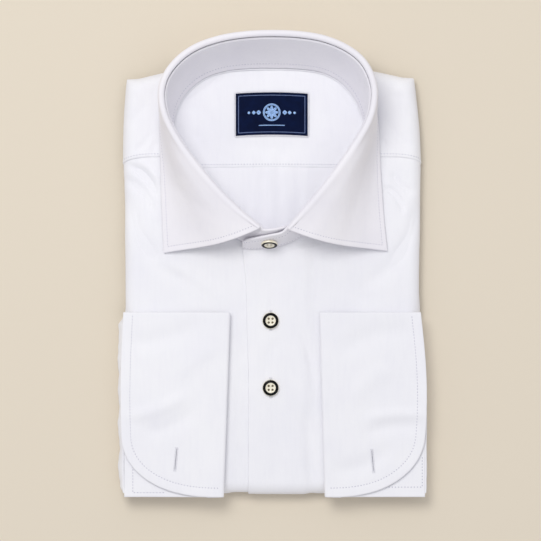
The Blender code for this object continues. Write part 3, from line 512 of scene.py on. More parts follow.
def rim_faces(rows, columns, start_low, start_high):
    places = [(0, place) for place in range(columns - 1)]
    places += [(row, columns - 1) for row in range(rows - 1)]
    places += [(rows - 1, place) for place in range(columns - 1, 0, -1)]
    places += [(row, 0) for row in range(rows - 1, 0, -1)]
    index = np.array([row * columns + place for row, place in places])
    after = np.roll(index, -1)
    low, high = start_low, start_high
    return np.stack((low + index, low + after, high + after, high + index), axis=1)


def two_sided(name, under, over):
    """A closed shell from two grids of points."""
    rows, columns = over.shape[:2]
    count = rows * columns
    points = np.concatenate((under.reshape(-1, 3), over.reshape(-1, 3)))
    faces = np.concatenate(
        (
            grid_faces(rows, columns)[:, ::-1],
            grid_faces(rows, columns, count),
            rim_faces(rows, columns, 0, count),
        )
    )
    return mesh_of(name, points, faces.tolist())


def normals_of(grid):
    along = np.gradient(grid, axis=0)
    across = np.gradient(grid, axis=1)
    normal = np.cross(across, along)
    return normal / np.maximum(np.linalg.norm(normal, axis=-1, keepdims=True), 1e-9)


def shell(name, middle, thickness, facing=1):
    """A closed shell about a grid of points. facing is -1 where its columns run the other way."""
    offset = normals_of(middle) * facing * (np.asarray(thickness) / 2)[..., None]
    return two_sided(name, middle - offset, middle + offset), middle + offset


RIM_FLOOR = 0.14


def rounded(distance, wall):
    """The share of a wall's thickness at a distance from its rim, which is round."""
    t = np.clip(np.asarray(distance, float) / (wall * 0.5), 0.0, 1.0)
    return RIM_FLOOR + (1 - RIM_FLOOR) * np.sqrt(1 - (1 - t) ** 2)


def spaced(length, step, wall):
    """Places from 0 to length, a step apart and closer together at the two round rims."""
    rim = wall * np.array((0.0, 0.06, 0.18, 0.34, 0.52))
    inner = np.linspace(1.0 * wall, length - 1.0 * wall, max(2, round(length / step)))
    return np.concatenate((rim, inner, length - rim[::-1]))


def rim_share(down, across, wall):
    """The thickness shares of a grid whose rows and columns lie at these distances."""
    rows = rounded(np.minimum(down, down[-1] - down), wall)
    columns = rounded(np.minimum(across, across[-1] - across), wall)
    return wall * np.minimum(rows[:, None], columns[None, :])


# Sheets of the body

SHEET_STEP = 1.5
SEAM_ROLL = 0.35
SEAM_ROLL_WIDTH = 2.2
SEAM_DIP = 0.25
SEAM_DIP_REACH = 1.2
INSIDE_YOKE_HALF_WIDTH = 88.0
INSIDE_YOKE_PAST_FOLD = 5.0
LABEL_FLAT_REACH = 3.0
UNDER_CUFF_INNER = (26.0, 34.0)
UNDER_CUFF_OUTER = (116.0, 108.0)


def under_cuffs(x, y):
    """1 where a cuff lies on the fronts, which stay flat there."""
    inside = smooth_step(*UNDER_CUFF_INNER, np.abs(x)) * smooth_step(CUFF_TOP_Y + 6, CUFF_TOP_Y - 2, y)
    return inside * smooth_step(*UNDER_CUFF_OUTER, np.abs(x))


def pucker(along, away, height, pitch, reach=2.6):
    """The small gathers of cloth that a seam draws up beside itself."""
    uneven = 0.6 + 0.4 * np.sin(along * 0.37 / pitch + 1.0)
    return height * np.sin(2 * math.pi * along / pitch) * uneven * np.exp(-np.abs(away) / reach)


def seam_dip(away):
    """The dip of a sheet beside the seam that lies on it."""
    return SEAM_DIP * np.exp(-np.maximum(away, 0.0) / SEAM_DIP_REACH)


def front_relief(x, y):
    relief = creased(FRONT_CREASES, x, y, FRONT_CREASE_STRENGTH) + ripple(x, y, 0.22, 62.0)
    seam = yoke_seam_y(x) - y
    relief = relief + pucker(x, seam, 0.10, 4.3) * (seam > -1)
    relief = relief - seam_dip(seam)
    return relief * (1 - under_cuffs(x, y))


def front_top(side, u, v):
    """Points on the upper face of a front."""
    rise = overlap_lift(u) if side > 0 else 0.0
    return body(u, v, FRONT_TOP + rise + front_relief(u, v))


def front(name, side):
    """A front, from its closing edge round the side fold, and round the tail fold below."""
    foot = TAIL_LINE - WRAP
    down = spaced(YOKE_SEAM_Y - GAP / 2 - foot, SHEET_STEP, PLY)
    width = SHOULDER_REACH + UNDERLAP_X
    across = spaced(width, SHEET_STEP, PLY)
    v = (foot + down)[:, None]
    share = (across / width)[None, :]
    inner = front_edge_x(side, v)
    outer = side_line(side, np.clip(v, TAIL_LINE, SHOULDER_Y)) + side * WRAP
    u = mix(inner, outer, share)
    v = v + (yoke_seam_y(u) - YOKE_SEAM_Y) * smooth_step(30.0, YOKE_SEAM_Y, v)
    thick = rim_share(down, across, PLY)
    middle = front_top(side, u, v)
    middle = middle - normals_of(middle) * side * PLY / 2
    return shell(name, middle, thick, side)[0]


def back_relief(x, y):
    fade = smooth_step(PLEAT_LOW_Y, PLEAT_FULL_Y, y)
    pleats = sum(pleat.height * bell(x, pleat.x, pleat.half_width) for pleat in PLEATS)
    return fade * (pleats + BACK_CREASE_STRENGTH * creased(BACK_CREASES, x, y)) + 0.15


def back_top(u, v):
    seam = inner_seam_y(u) - v
    relief = back_relief(u, v) + pucker(u, seam, 0.12, 5.1)
    return body(u, v, BACK_LIFT + PLY + relief - seam_dip(seam))


def back_panel():
    """The back, seen through the neck hole, with its soft pleats below the inner yoke seam."""
    foot = TAIL_LINE - BACK_WRAP
    down = spaced(INNER_SEAM_Y - foot, 2.0, PLY)
    reach = 2 * (SHOULDER_REACH - FOLD_REACH + BACK_WRAP)
    across = spaced(reach, SHEET_STEP, PLY)
    share = (down / down[-1])[:, None]
    u = (across - reach / 2)[None, :]
    v = mix(foot, inner_seam_y(u) - GAP, share)
    middle = back_top(u, v)
    middle = middle - normals_of(middle) * PLY / 2
    return shell("shirt_back", middle, rim_share(down, across, PLY))[0]


def inside_yoke_top(u, v):
    seam = v - inner_seam_y(u)
    relief = back_relief(u, v) * (1 - smooth_step(0.0, 16.0, seam))
    relief = relief + creased(INSIDE_CREASES, u, v) + ripple(u, v, 0.25, 48.0, 2.0)
    relief = relief + pucker(u, seam, 0.12, 5.1) + SEAM_ROLL * np.exp(-((seam - 0.9) / 1.3) ** 2)
    flat_label = smooth_step(0.0, 5.0, label_inset(u, v))
    return body(u, v, BACK_LIFT + PLY + relief * (1 - flat_label))


def yoke_inside():
    """The inside of the yoke, from its seam up and over the shoulder fold, under the label."""
    half_width, past = INSIDE_YOKE_HALF_WIDTH, INSIDE_YOKE_PAST_FOLD
    across = spaced(2 * half_width, SHEET_STEP, PLY)
    down = spaced(SHOULDER_Y - FOLD_REACH + past - INNER_SEAM_Y, SHEET_STEP, PLY)
    u = (across - half_width)[None, :]
    v = mix(inner_seam_y(u) - SEAM_LAP, shoulder_line(u) + past, (down / down[-1])[:, None])
    middle = inside_yoke_top(u, v)
    middle = middle - normals_of(middle) * PLY / 2
    return shell("shirt_yoke_inside", middle, rim_share(down, across, PLY))[0]


def yoke_top(u, v):
    """Points on the upper face of the outer yoke, whose folded edge rolls up at the seam."""
    seam = v - yoke_seam_y(u)
    relief = creased(YOKE_CREASES, u, v, YOKE_CREASE_STRENGTH) + ripple(u, v, 0.22, 52.0, 4.0)
    relief = relief + pucker(u, seam, 0.14, 4.3)
    relief = relief + SEAM_ROLL * smooth_step(SEAM_ROLL_WIDTH + 2.0, 0.6, seam)
    return body(u, v, FRONT_TOP + relief)


YOKE_SIDE_ROWS = 40
YOKE_CORNER_ROWS = 8
YOKE_BACK_ROWS = 104
YOKE_SEAM_ROWS = 12.0
YOKE_ROW_APART = 1.4
YOKE_WIDTH = 30.0
YOKE_FIRST_STATION = 4.15
YOKE_LAST_STATION = LAST - 4.3


def yoke_side_edge(side):
    """The yoke's outer edge laid out flat, up one side fold and round its shoulder corner."""
    low = yoke_seam_y(side_line(side, YOKE_SEAM_Y)) - SEAM_LAP
    high = shoulder_line(side_line(side, SHOULDER_Y - SHOULDER_DROP))
    y = np.linspace(low, high, YOKE_SIDE_ROWS)
    corner = np.linspace(0.0, 1.0, YOKE_CORNER_ROWS + 2)[1:-1]
    corner_u = side_line(side, high) + side * WRAP * np.minimum(1.0, 2 - 2 * corner)
    u = np.concatenate((side_line(side, y) + side * WRAP, corner_u))
    v = np.concatenate((y, high + WRAP * np.minimum(1.0, 2 * corner)))
    return u, v, high


def yoke_outer_edge():
    """The whole outer edge laid out flat, from the right seam over the shoulders to the left."""
    right_u, right_v, _ = yoke_side_edge(-1.0)
    left_u, left_v, high = yoke_side_edge(1.0)
    back_x = np.linspace(side_line(-1.0, high), side_line(1.0, high), YOKE_BACK_ROWS)
    u = np.concatenate((right_u, back_x, left_u[::-1]))
    v = np.concatenate((right_v, shoulder_line(back_x) + WRAP, left_v[::-1]))
    return u, v


def set_on_seam(u, v):
    """v with its first and last row set on the yoke seam, and the rows next to them eased."""
    count = len(v)
    number = np.arange(count)[:, None]
    near_seam = smooth_step(YOKE_SEAM_ROWS, 0.0, np.minimum(number, count - 1 - number))
    off_seam = yoke_seam_y(u[[0, -1]]) - SEAM_LAP - v[[0, -1]]
    return v + np.where(number < count // 2, off_seam[:1], off_seam[1:]) * near_seam


def yoke():
    """The outer yoke: over both shoulders and round the back of the neck hole."""
    u_out, v_out = yoke_outer_edge()
    count = len(u_out)
    u_in, y_in = neck_rim(np.linspace(YOKE_FIRST_STATION, YOKE_LAST_STATION, count))
    v_in = laid_out_y(u_in, y_in)
    across = spaced(YOKE_WIDTH, 1.1, PLY)
    share = (across / across[-1])[None, :]
    u = mix(u_in[:, None], u_out[:, None], share)
    v = set_on_seam(u, mix(v_in[:, None], v_out[:, None], share))
    half = np.concatenate(((0.0, 0.5), np.arange(2, count // 2))) * YOKE_ROW_APART
    to_end = rounded(np.concatenate((half, half[::-1])), PLY)
    to_edge = rounded(np.minimum(across, across[-1] - across), PLY)
    thick = PLY * np.minimum(to_end[:, None], to_edge[None, :])
    middle = yoke_top(u, v)
    normal = normals_of(middle)
    normal = normal * np.sign(normal[YOKE_SIDE_ROWS, 3, 2])
    middle = middle - normal * PLY / 2
    offset = normal * (thick / 2)[..., None]
    return two_sided("shirt_yoke", middle - offset, middle + offset)


def label_inset(x, y):
    """How far a place is inside the label's outline, let out by the yoke's flat margin round it."""
    low, high = box_mm("label")
    inside_x = np.minimum(x - low[0], high[0] - x)
    inside_y = np.minimum(y - low[1], high[1] - y)
    return np.minimum(inside_x, inside_y) + LABEL_FLAT_REACH


# The hidden layers

CORE_EASE = 0.4
Lip = namedtuple("Lip", "top_z set_back groove wave phase")
LIPS = (
    Lip(1.9, 1.5, 1.5, 0.35, 0.4),
    Lip(4.3, 0.2, 1.9, 0.40, 2.1),
    Lip(6.5, 1.0, 1.6, 0.45, 4.0),
)
LIP_ROWS = 8
CORE_SHARP_DEGREES = 50
CORNER_POWER = math.log(2) / math.log(1 / (1 - CORNER_ROUND))


def core_outline():
    """Places round the body's flat top, and the way out at each: straight, and round at corners."""
    turn = np.linspace(0, math.pi / 2, 14)[1:-1]
    size = (np.cos(turn) ** CORNER_POWER + np.sin(turn) ** CORNER_POWER) ** (1 / CORNER_POWER)
    bend_x, bend_y = np.cos(turn) / size, np.sin(turn) / size
    places, ways = [], []
    high = SHOULDER_Y - SHOULDER_DROP * 0.85 - FOLD_REACH
    along = np.linspace(TAIL_LINE, high, 200)
    right = np.stack((side_line(1.0, along), along), axis=1)
    left = np.stack((side_line(-1.0, along), along), axis=1)[::-1]
    share = np.linspace(0, 1, 130)
    top_x = mix(right[-1, 0], left[0, 0], share)
    bottom_x = mix(left[-1, 0], right[0, 0], share)
    top = np.stack((top_x, shoulder_line(top_x)), axis=1)
    bottom = np.stack((bottom_x, np.full_like(bottom_x, TAIL_LINE)), axis=1)
    quarter = len(turn)
    runs = (
        (right, 1, 0, (bend_x, bend_y)),
        (top, 0, 1, (-bend_y, bend_x)),
        (left, -1, 0, (-bend_x, -bend_y)),
        (bottom, 0, -1, (bend_y, -bend_x)),
    )
    for line, way_x, way_y, bend in runs:
        places.append(line)
        ways.append(np.tile((way_x, way_y), (len(line), 1)))
        places.append(np.tile(line[-1], (quarter, 1)))
        ways.append(np.stack(bend, axis=1))
    return np.concatenate(places), np.concatenate(ways)


def core():
    """The stack of hidden layers: folded lips all round under the wrapped fronts and yoke."""
    places, ways = core_outline()
    along = np.concatenate(((0.0,), np.cumsum(np.linalg.norm(np.diff(places, axis=0), axis=1))))
    along = along / along[-1] * 2 * math.pi
    rings = []
    floor_z = 0.0
    for lip in LIPS:
        wave = lip.wave * (np.sin(9 * along + lip.phase) + 0.6 * np.sin(23 * along + 2 * lip.phase))
        for step in range(LIP_ROWS + 1):
            rise = step / LIP_ROWS
            hollow = lip.groove * (1 - math.sqrt(max(0.0, 1 - (2 * rise - 1) ** 2)))
            reach = FOLD_RADIUS - lip.set_back - hollow + wave * math.sin(math.pi * rise)
            z = np.full(len(places), mix(floor_z, lip.top_z, rise))
            if floor_z and step == 0:
                continue
            rings.append(np.column_stack((places + ways * reach[:, None], z)))
        floor_z = lip.top_z
    for turn in np.linspace(math.pi / 2, 0.3, 10):
        radius = FOLD_RADIUS - CORE_EASE
        z = np.full(len(places), FOLD_RADIUS + radius * math.cos(turn))
        rings.append(np.column_stack((places + ways * radius * math.sin(turn), z)))
    count = len(places)
    points = np.concatenate(rings)
    faces = []
    for level in range(len(rings) - 1):
        here = level * count + np.arange(count)
        after = level * count + np.roll(np.arange(count), -1)
        faces += np.stack((here, after, after + count, here + count), axis=1).tolist()
    faces.append(list(range(count)))
    faces.append(list(range((len(rings) - 1) * count, len(rings) * count)))
    made = mesh_of("shirt_hidden_layers", points, faces)
    made.data.set_sharp_from_angle(angle=math.radians(CORE_SHARP_DEGREES))
    return made


# Collar


def foot_z(x, y):
    rise = np.where(y < INNER_SEAM_Y, overlap_lift(x), 0.0)
    return body_height(x, y, FRONT_TOP + rise) + BAND_FOOT


def collar_values(index, name):
    return curve(range(LAST + 1), column(COLLAR, name), index)


def fold_points(index):
    return np.stack([collar_values(index, name) for name in ("fold_x", "fold_y", "fold_z")], axis=-1)


def outward(index):
    """The level direction away from the neck, square to the fold."""
    step = 0.25
    along = fold_points(np.asarray(index) + step) - fold_points(np.asarray(index) - step)
    out = np.stack((-along[..., 1], along[..., 0], np.zeros(along.shape[:-1])), axis=-1)
    return out / np.linalg.norm(out, axis=-1, keepdims=True)


def roll_half_width(index):
    """Half of the fold's width, which narrows to the leaf's two front ends."""
    to_front = np.minimum(index, LAST - index)
    return ROLL_HALF_WIDTH * mix(ROLL_END_SHARE, 1.0, smooth_step(-0.2, ROLL_END_STATIONS, to_front))


UP = np.array((0.0, 0.0, 1.0))
BAND_ROWS = 15
BAND_BOW = 0.9
BAND_STEP = 0.07
BAND_HEIGHT = 25.0
BAND_STITCH_COLUMNS = (4, 15)


def band_lines():
    """The band's foot and top, from its under end round the neck to the end of its tab."""
    index = np.arange(0.0, LAST + 0.01, 0.25)
    inset = roll_half_width(index) + BAND_INSET
    top = fold_points(index) - outward(index) * inset[:, None] - UP * BAND_TOP_DROP
    seam = np.stack((collar_values(index, "seam_x"), collar_values(index, "seam_y")), axis=1)

    def end_rows(ends):
        seams = np.array([(end.seam_x, end.seam_y) for end in ends])
        tops = np.array([(end.top_x, end.top_y, end.top_z) for end in ends])
        return seams, tops

    under_seam, under_top = end_rows(UNDER_END)
    tab_seam, tab_top = end_rows(TAB_END)
    seam = np.concatenate((under_seam, seam, tab_seam))
    top = np.concatenate((under_top, top, tab_top))
    place = np.concatenate((
        np.arange(-len(UNDER_END), 0.0), index, LAST + 1.0 + np.arange(len(TAB_END))
    ))
    fine = np.arange(place[0], place[-1] + 0.001, BAND_STEP)
    foot_x, foot_y = (curve(place, seam[:, axis], fine) for axis in (0, 1))
    foot = np.stack((foot_x, foot_y, foot_z(foot_x, foot_y)), axis=1)
    top = np.stack([curve(place, top[:, axis], fine) for axis in range(3)], axis=1)
    return fine, foot, top


def along_line(points):
    return np.concatenate(((0.0,), np.cumsum(np.linalg.norm(np.diff(points, axis=0), axis=1))))


def collar_band():
    """The band: a strip that stands round the neck, its left end lapped over its right one."""
    place, foot, top = band_lines()
    share = np.array((0.0, 0.02, 0.05, *np.linspace(0.09, 0.91, BAND_ROWS), 0.95, 0.98, 1.0))
    middle = mix(foot[:, None, :], top[:, None, :], share[None, :, None])
    along = along_line(top)
    bow = BAND_BOW * np.sin(math.pi * share)[None, :]
    sway = ripple(along[:, None], share[None, :] * BAND_HEIGHT, 0.35, 70.0)
    normal = normals_of(middle)
    inside_seam = 0.25 * bell(share * BAND_HEIGHT, 2.6, 0.8)[None, :]
    ends = smooth_step(0.0, 18.0, np.minimum(along, along[-1] - along))[:, None]
    middle = middle + normal * ((bow + sway * np.sin(math.pi * share)) * ends + inside_seam)[..., None]
    down = rounded(np.minimum(along, along[-1] - along), BAND_WALL)
    height = np.linalg.norm(top - foot, axis=1).mean()
    across = rounded(np.minimum(share, 1 - share) * height, BAND_WALL)
    thick = BAND_WALL * np.minimum(down[:, None], across[None, :])
    made, outer = shell("shirt_collar_band", middle, thick)
    return made, outer, 2 * middle - outer, place


LEAF_STATION_LENGTH = 21.0
LEAF_MARGIN = 3.6
MARGIN_RISE = 0.22
STITCH_GROOVE = 0.18
LEAF_PLACES = (0.0, 1.6, 3.2, 4.8, 6.6, 15.6, 24.6, 33.6, 42.6, 51.6)


def leaf_controls(index):
    """The leaf's section at each index: the band's edge, the roll, and the fall to its edge."""
    fold = fold_points(index)
    out = outward(index)
    edge_x, edge_y = collar_values(index, "edge_x"), collar_values(index, "edge_y")
    rest = body_height(edge_x, edge_y - LEAF_SET_BACK, FRONT_TOP) + LEAF_FOOT
    edge = np.stack((edge_x, edge_y, np.maximum(rest, LEAF_HANG_Z)), axis=-1)
    roll = roll_half_width(index)[:, None]
    reach = np.linalg.norm((edge - fold)[:, :2], axis=1)[:, None]
    flat = smooth_step(LEAF_FLAT_FROM, LEAF_FLAT_AT, reach)
    haunch = out * roll * 0.8 + UP * ROLL_RISE * mix(0.45, 0.85, flat)
    shoulder = fold + out * roll * mix(1.0, 1.6, flat) + UP * ROLL_RISE * mix(-1.0, 0.35, flat)
    line = [
        fold - out * roll - UP * LEAF_START_DROP,
        fold - out * roll * 0.8 + UP * ROLL_RISE * 0.45,
        fold + UP * ROLL_RISE,
        fold + haunch,
    ]
    lean = out * 0.5 + UP
    lean = lean / np.linalg.norm(lean, axis=-1, keepdims=True)
    to_front = np.minimum(index, LAST - index)[:, None] / LEAF_FRONT_BOW_STATIONS
    bow = np.array((0.0, -1.0, 0.0)) * LEAF_FRONT_BOW * np.maximum(0.0, 1 - to_front)
    for share in np.linspace(0.0, 1.0, 6):
        wave = flat * LEAF_WAVE * math.sin(2 * math.pi * share)
        bulge = lean * (LEAF_BULGE * math.sin(math.pi * share) + wave)
        line.append(mix(shoulder, edge, share) + bulge + bow * math.sin(math.pi * share))
    return np.stack(line, axis=1)


LEAF_CREASES = (
    Crease(0.9, 14.0, 2.6, 44.0, 0.0, 0.55, 0.30),
    Crease(21.0, 16.0, 22.8, 42.0, 0.0, 0.50, 0.28),
    Crease(5.6, 12.0, 6.4, 34.0, 0.0, 0.35, 0.25),
    Crease(17.4, 12.0, 18.4, 34.0, 0.0, 0.35, 0.22),
)


def collar_leaf():
    """The leaf, folded over the band all round, with a point on each front."""
    length = LAST * LEAF_STATION_LENGTH
    down = spaced(length, 1.35, LEAF_WALL)
    index = down / LEAF_STATION_LENGTH
    controls = leaf_controls(index)
    across = np.concatenate((
        np.array((0.0, 0.1, 0.25, 0.5, 0.8)),
        np.linspace(1.2, 8.0, 12),
        np.linspace(9.2, 50.6, 34),
        LEAF_PLACES[-1] - np.array((0.7, 0.5, 0.3, 0.15, 0.06, 0.0)),
    ))
    middle = np.stack([
        np.stack([curve(LEAF_PLACES, row[:, axis], across) for axis in range(3)], axis=-1)
        for row in controls
    ])
    run = np.linalg.norm(np.diff(middle, axis=1), axis=2)
    from_start = np.concatenate((np.zeros((len(index), 1)), np.cumsum(run, axis=1)), axis=1)
    to_edge = from_start[:, -1:] - from_start
    to_end = np.minimum(down, length - down)[:, None] + 0 * to_edge
    to_rim = np.minimum(to_edge, to_end)
    margin = MARGIN_RISE * smooth_step(LEAF_MARGIN, LEAF_MARGIN - 1.4, to_rim)
    groove = STITCH_GROOVE * bell(to_rim, LEAF_MARGIN, 0.6)
    off_roll = smooth_step(7.0, 13.0, from_start)
    relief = (margin - groove) * off_roll
    relief = relief + creased(LEAF_CREASES, index[:, None], from_start) * off_roll
    relief = relief + pucker(down[:, None], to_rim - LEAF_MARGIN, 0.05, 4.1) * off_roll
    relief = relief + ripple(down[:, None], from_start, 0.18, 55.0, 1.0) * off_roll
    normal = -normals_of(middle)
    middle = middle + normal * relief[..., None]
    ends = np.minimum(rounded(to_rim, LEAF_WALL), rounded(from_start, LEAF_WALL))
    made, outer = shell("shirt_collar_leaf", middle, LEAF_WALL * ends, -1)
    return made, outer, normal, down, from_start, to_edge


# Cuffs and sleeves

CUFF_RISE = {-1: 2.6, 1: 1.2}
CUFF_WIDTH = 75.0
CUFF_MARGIN = 6.9
CUFF_STITCH_WIDTH = 0.7
CUFF_STITCH_LIFT = 0.14
BASE_LEAN = {-1: 0.0, 1: 3.8}
BASE_LEAN_FROM = -110.0
BASE_LEAN_AT = -38.0
CUFF_CREASES = (
    Crease(-104.0, -58.0, -56.0, -46.0, -3.0, 7.5, 0.55),
    Crease(-104.0, -112.0, -66.0, -98.0, -2.0, 4.5, -0.55),
    Crease(-92.0, -124.0, -58.0, -108.0, -3.0, 6.0, 0.50),
    Crease(-66.0, -80.0, -44.0, -62.0, 2.0, 6.0, -0.35),
    Crease(52.0, -62.0, 102.0, -50.0, 4.0, 8.0, 0.50),
    Crease(72.0, -113.0, 110.0, -111.0, 1.5, 4.0, -0.50),
    Crease(70.0, -124.0, 106.0, -120.0, 2.0, 5.0, 0.42),
    Crease(48.0, -152.0, 84.0, -138.0, -3.0, 6.5, 0.50),
    Crease(60.0, -98.0, 86.0, -78.0, 3.0, 7.0, -0.35),
)


def base_lean(side, y):
    return smooth_step(BASE_LEAN_FROM, BASE_LEAN_AT, y) * BASE_LEAN[side]


def base_x(cuff, y):
    """Where a cuff is sewn to its sleeve, which leans in towards the top."""
    return cuff.base_x - base_lean(cuff.side, y)


def flat_height(x, y, lift):
    """The height of a stiff piece that lies on the body and doesn't turn round its folds.

    The sleeve folded in under each cuff lifts it, the more so towards the closing.
    """
    rise = np.where(x < 0, CUFF_RISE[-1], CUFF_RISE[1]) * smooth_step(100.0, 40.0, np.abs(x))
    return 2 * FOLD_RADIUS + crown(x, y) + lift + rise


def cuff_free_x(cuff, share):
    """How far out the turned-back half reaches, with its foot corner rounded."""
    straight = cuff.outer_x + cuff.outer_bow * np.sin(math.pi * np.minimum(1.0, share * 1.1))
    length = CUFF_TOP_Y - CUFF_FOOT_Y
    into = np.clip(CUFF_CORNER - (1 - share) * length, 0.0, CUFF_CORNER) / CUFF_CORNER
    fold_x = cuff.fold_x + cuff.fold_slant * share
    corner_width = straight - fold_x - CUFF_WALL * 2
    rounding = 1 - (1 - into**CUFF_CORNER_POWER) ** (1 / CUFF_CORNER_POWER)
    return straight - corner_width * rounding


def cuff_outline(cuff, inset=0.0, start=0.0, end=1.0):
    """The turned-back half's free edge, from its top round its corner to its foot."""
    share = mix(start, end, 1 - (1 - np.linspace(0, 1, 400)) ** 2.2)
    line = np.stack((cuff_free_x(cuff, share), mix(CUFF_TOP_Y, CUFF_FOOT_Y, share)), axis=1)
    way = np.gradient(line, axis=0)
    way = way / np.linalg.norm(way, axis=1, keepdims=True)
    line = line + np.stack((way[:, 1], -way[:, 0]), axis=1) * inset
    return line * (cuff.side, 1)


def distance_to(line, x, y):
    """How far each place is from a line of points."""
    nearest = np.full(np.broadcast(x, y).shape, np.inf)
    for point in line:
        nearest = np.minimum(nearest, (x - point[0]) ** 2 + (y - point[1]) ** 2)
    return np.sqrt(nearest)


def cuff_relief(cuff, x, y, outline):
    to_rim = distance_to(outline, x, y)
    margin = 0.20 * smooth_step(CUFF_MARGIN, CUFF_MARGIN - 2.5, to_rim)
    groove = 0.12 * bell(to_rim, CUFF_MARGIN, CUFF_STITCH_WIDTH)
    swell = ripple(x, y, 0.16, 75.0, 1.5 + cuff.side) + creased(CUFF_CREASES, x, y, CUFF_CREASE_STRENGTH)
    gathers = pucker(x - y, to_rim - CUFF_MARGIN, 0.05, 3.9)
    link_x, link_y = LINK_HOLES[cuff.side]
    pull = 0.22 * np.exp(-(((x - link_x) / 9.0) ** 2) - ((y - link_y) / 14.0) ** 2)
    return to_rim, margin - groove + swell + gathers - pull


LINK_HOLES = {-1: (-71.0, -143.5), 1: (73.6, -144.8)}
LINK_HOLE_HALF = (0.8, -8.9)


def cuff_top(cuff, x, y, outline):
    """Points on the upper face of a cuff's turned-back half."""
    _, relief = cuff_relief(cuff, x, y, outline)
    z = flat_height(x, y, CUFF_LIFT + CUFF_WALL + CUFF_STEP + relief)
    return np.stack((x, y, z), axis=-1)


def double_cuff(cuff):
    """A double cuff: its lower half on the body, a fold near the closing, its upper half back."""
    length = CUFF_TOP_Y - CUFF_FOOT_Y
    down = spaced(length, 1.6, CUFF_WALL)
    share = down / length
    y = (CUFF_TOP_Y - down)[:, None]
    low = CUFF_LIFT + CUFF_WALL / 2
    radius = CUFF_STEP / 2
    fold_x = (cuff.fold_x + cuff.fold_slant * share + radius + CUFF_WALL / 2)[:, None]
    free_x = cuff_free_x(cuff, share)[:, None]
    flat = spaced(CUFF_WIDTH, 1.5, CUFF_WALL) / CUFF_WIDTH
    under_share = flat[: -3]
    turn = np.linspace(-math.pi / 2, math.pi / 2, 9)[None, :]
    end_x = base_x(cuff, y)
    under_x = mix(end_x, fold_x, under_share[None, :])
    over_x = mix(fold_x, free_x, flat[3:][None, :])
    fold_run = fold_x - radius * np.cos(turn)
    x = cuff.side * np.concatenate((under_x, fold_run, over_x), axis=1)
    y = y + 0 * x
    centre = flat_height(cuff.side * fold_x, y[:, :1], low + radius)
    outline = cuff_outline(cuff)
    to_rim, relief = cuff_relief(cuff, x, y, outline)
    columns = (under_x.shape[1], fold_run.shape[1], over_x.shape[1])
    upper = np.arange(sum(columns)) >= columns[0] + columns[1]
    from_fold = np.abs(x) - fold_x
    upper_z = flat_height(x, y, low + CUFF_STEP + relief * smooth_step(0.0, 6.0, from_fold))
    z = np.where(upper[None, :], upper_z, flat_height(x, y, low))
    z[:, columns[0] : columns[0] + columns[1]] = centre + radius * np.sin(turn)
    middle = np.stack((x, y, z), axis=-1)
    to_foot = np.minimum(down, length - down)[:, None]
    base_rim = rounded(end_x - np.abs(x), CUFF_WALL)
    free_rim = rounded(to_rim, CUFF_WALL)
    thick = np.where(upper[None, :], free_rim, base_rim)
    thick = CUFF_WALL * np.minimum(thick, rounded(to_foot, CUFF_WALL))
    return shell(f"shirt_cuff_{cuff.name}", middle, thick)[0]


def sleeve_bulge(side, y):
    """How far the sleeve's folds push it out, which is nothing at its two ends."""
    share = 1.0 if side < 0 else LEFT_SLEEVE_SHARE
    full = smooth_step(SLEEVE_TOP_Y - SLEEVE_FULL_FROM, SLEEVE_TOP_Y - SLEEVE_FULL_AT, y)
    full = full * smooth_step(SLEEVE_FOOT_Y, SLEEVE_FOOT_Y + SLEEVE_FULL_AT, y)
    folds = sum(fold.depth * bell(y, fold.y, fold.half_width) for fold in SLEEVE_FOLDS)
    return share * full * (SLEEVE_FULLNESS + folds) - base_lean(side, y) * 0.6


def sleeve(cuff):
    """The sleeve's last stretch: from the cuff's end round the body's side to the underside."""
    side = cuff.side
    length = SLEEVE_TOP_Y - SLEEVE_FOOT_Y
    down = spaced(length, 1.2, SLEEVE_WALL)
    y = (SLEEVE_TOP_Y - down)[:, None]
    across = spaced(SLEEVE_HEIGHT, 0.8, SLEEVE_WALL)
    drop = (across / SLEEVE_HEIGHT)[None, :]
    near = np.abs(side_line(side, y)) + FOLD_REACH + GAP + SLEEVE_WALL / 2
    start_x = base_x(cuff, y) + SLEEVE_TUCK
    top = flat_height(side * start_x, y, CUFF_LIFT + CUFF_WALL * 0.75)
    slack = curve(SLEEVE_DROPS, (0.0, 0.5, 0.9, 1.0, 0.7, 0.0), drop)
    fullness = curve(SLEEVE_DROPS, (0.0, 0.5, 0.9, 1.0, 0.8, 0.4), drop)
    small = 0.25 * np.sin(y * 0.62 + 3 * drop) * np.sin(y * 0.17) * np.sin(math.pi * drop)
    x = mix(start_x, near, smooth_step(0.0, 0.5, drop)) + SLEEVE_SLACK * slack
    x = x + sleeve_bulge(side, y) * fullness + small
    z = mix(top, SLEEVE_WALL * 0.55, drop)
    middle = np.stack(np.broadcast_arrays(side * x, y, z), axis=-1)
    return shell(f"shirt_sleeve_{cuff.name}", middle, rim_share(down, across, SLEEVE_WALL))[0]


# Stitches: small rounded lengths of thread, many of them joined in one mesh

STITCH_SIDES = 6
STITCH_RINGS = ((-0.5, 0.15), (-0.36, 0.85), (0.0, 1.0), (0.36, 0.85), (0.5, 0.15))


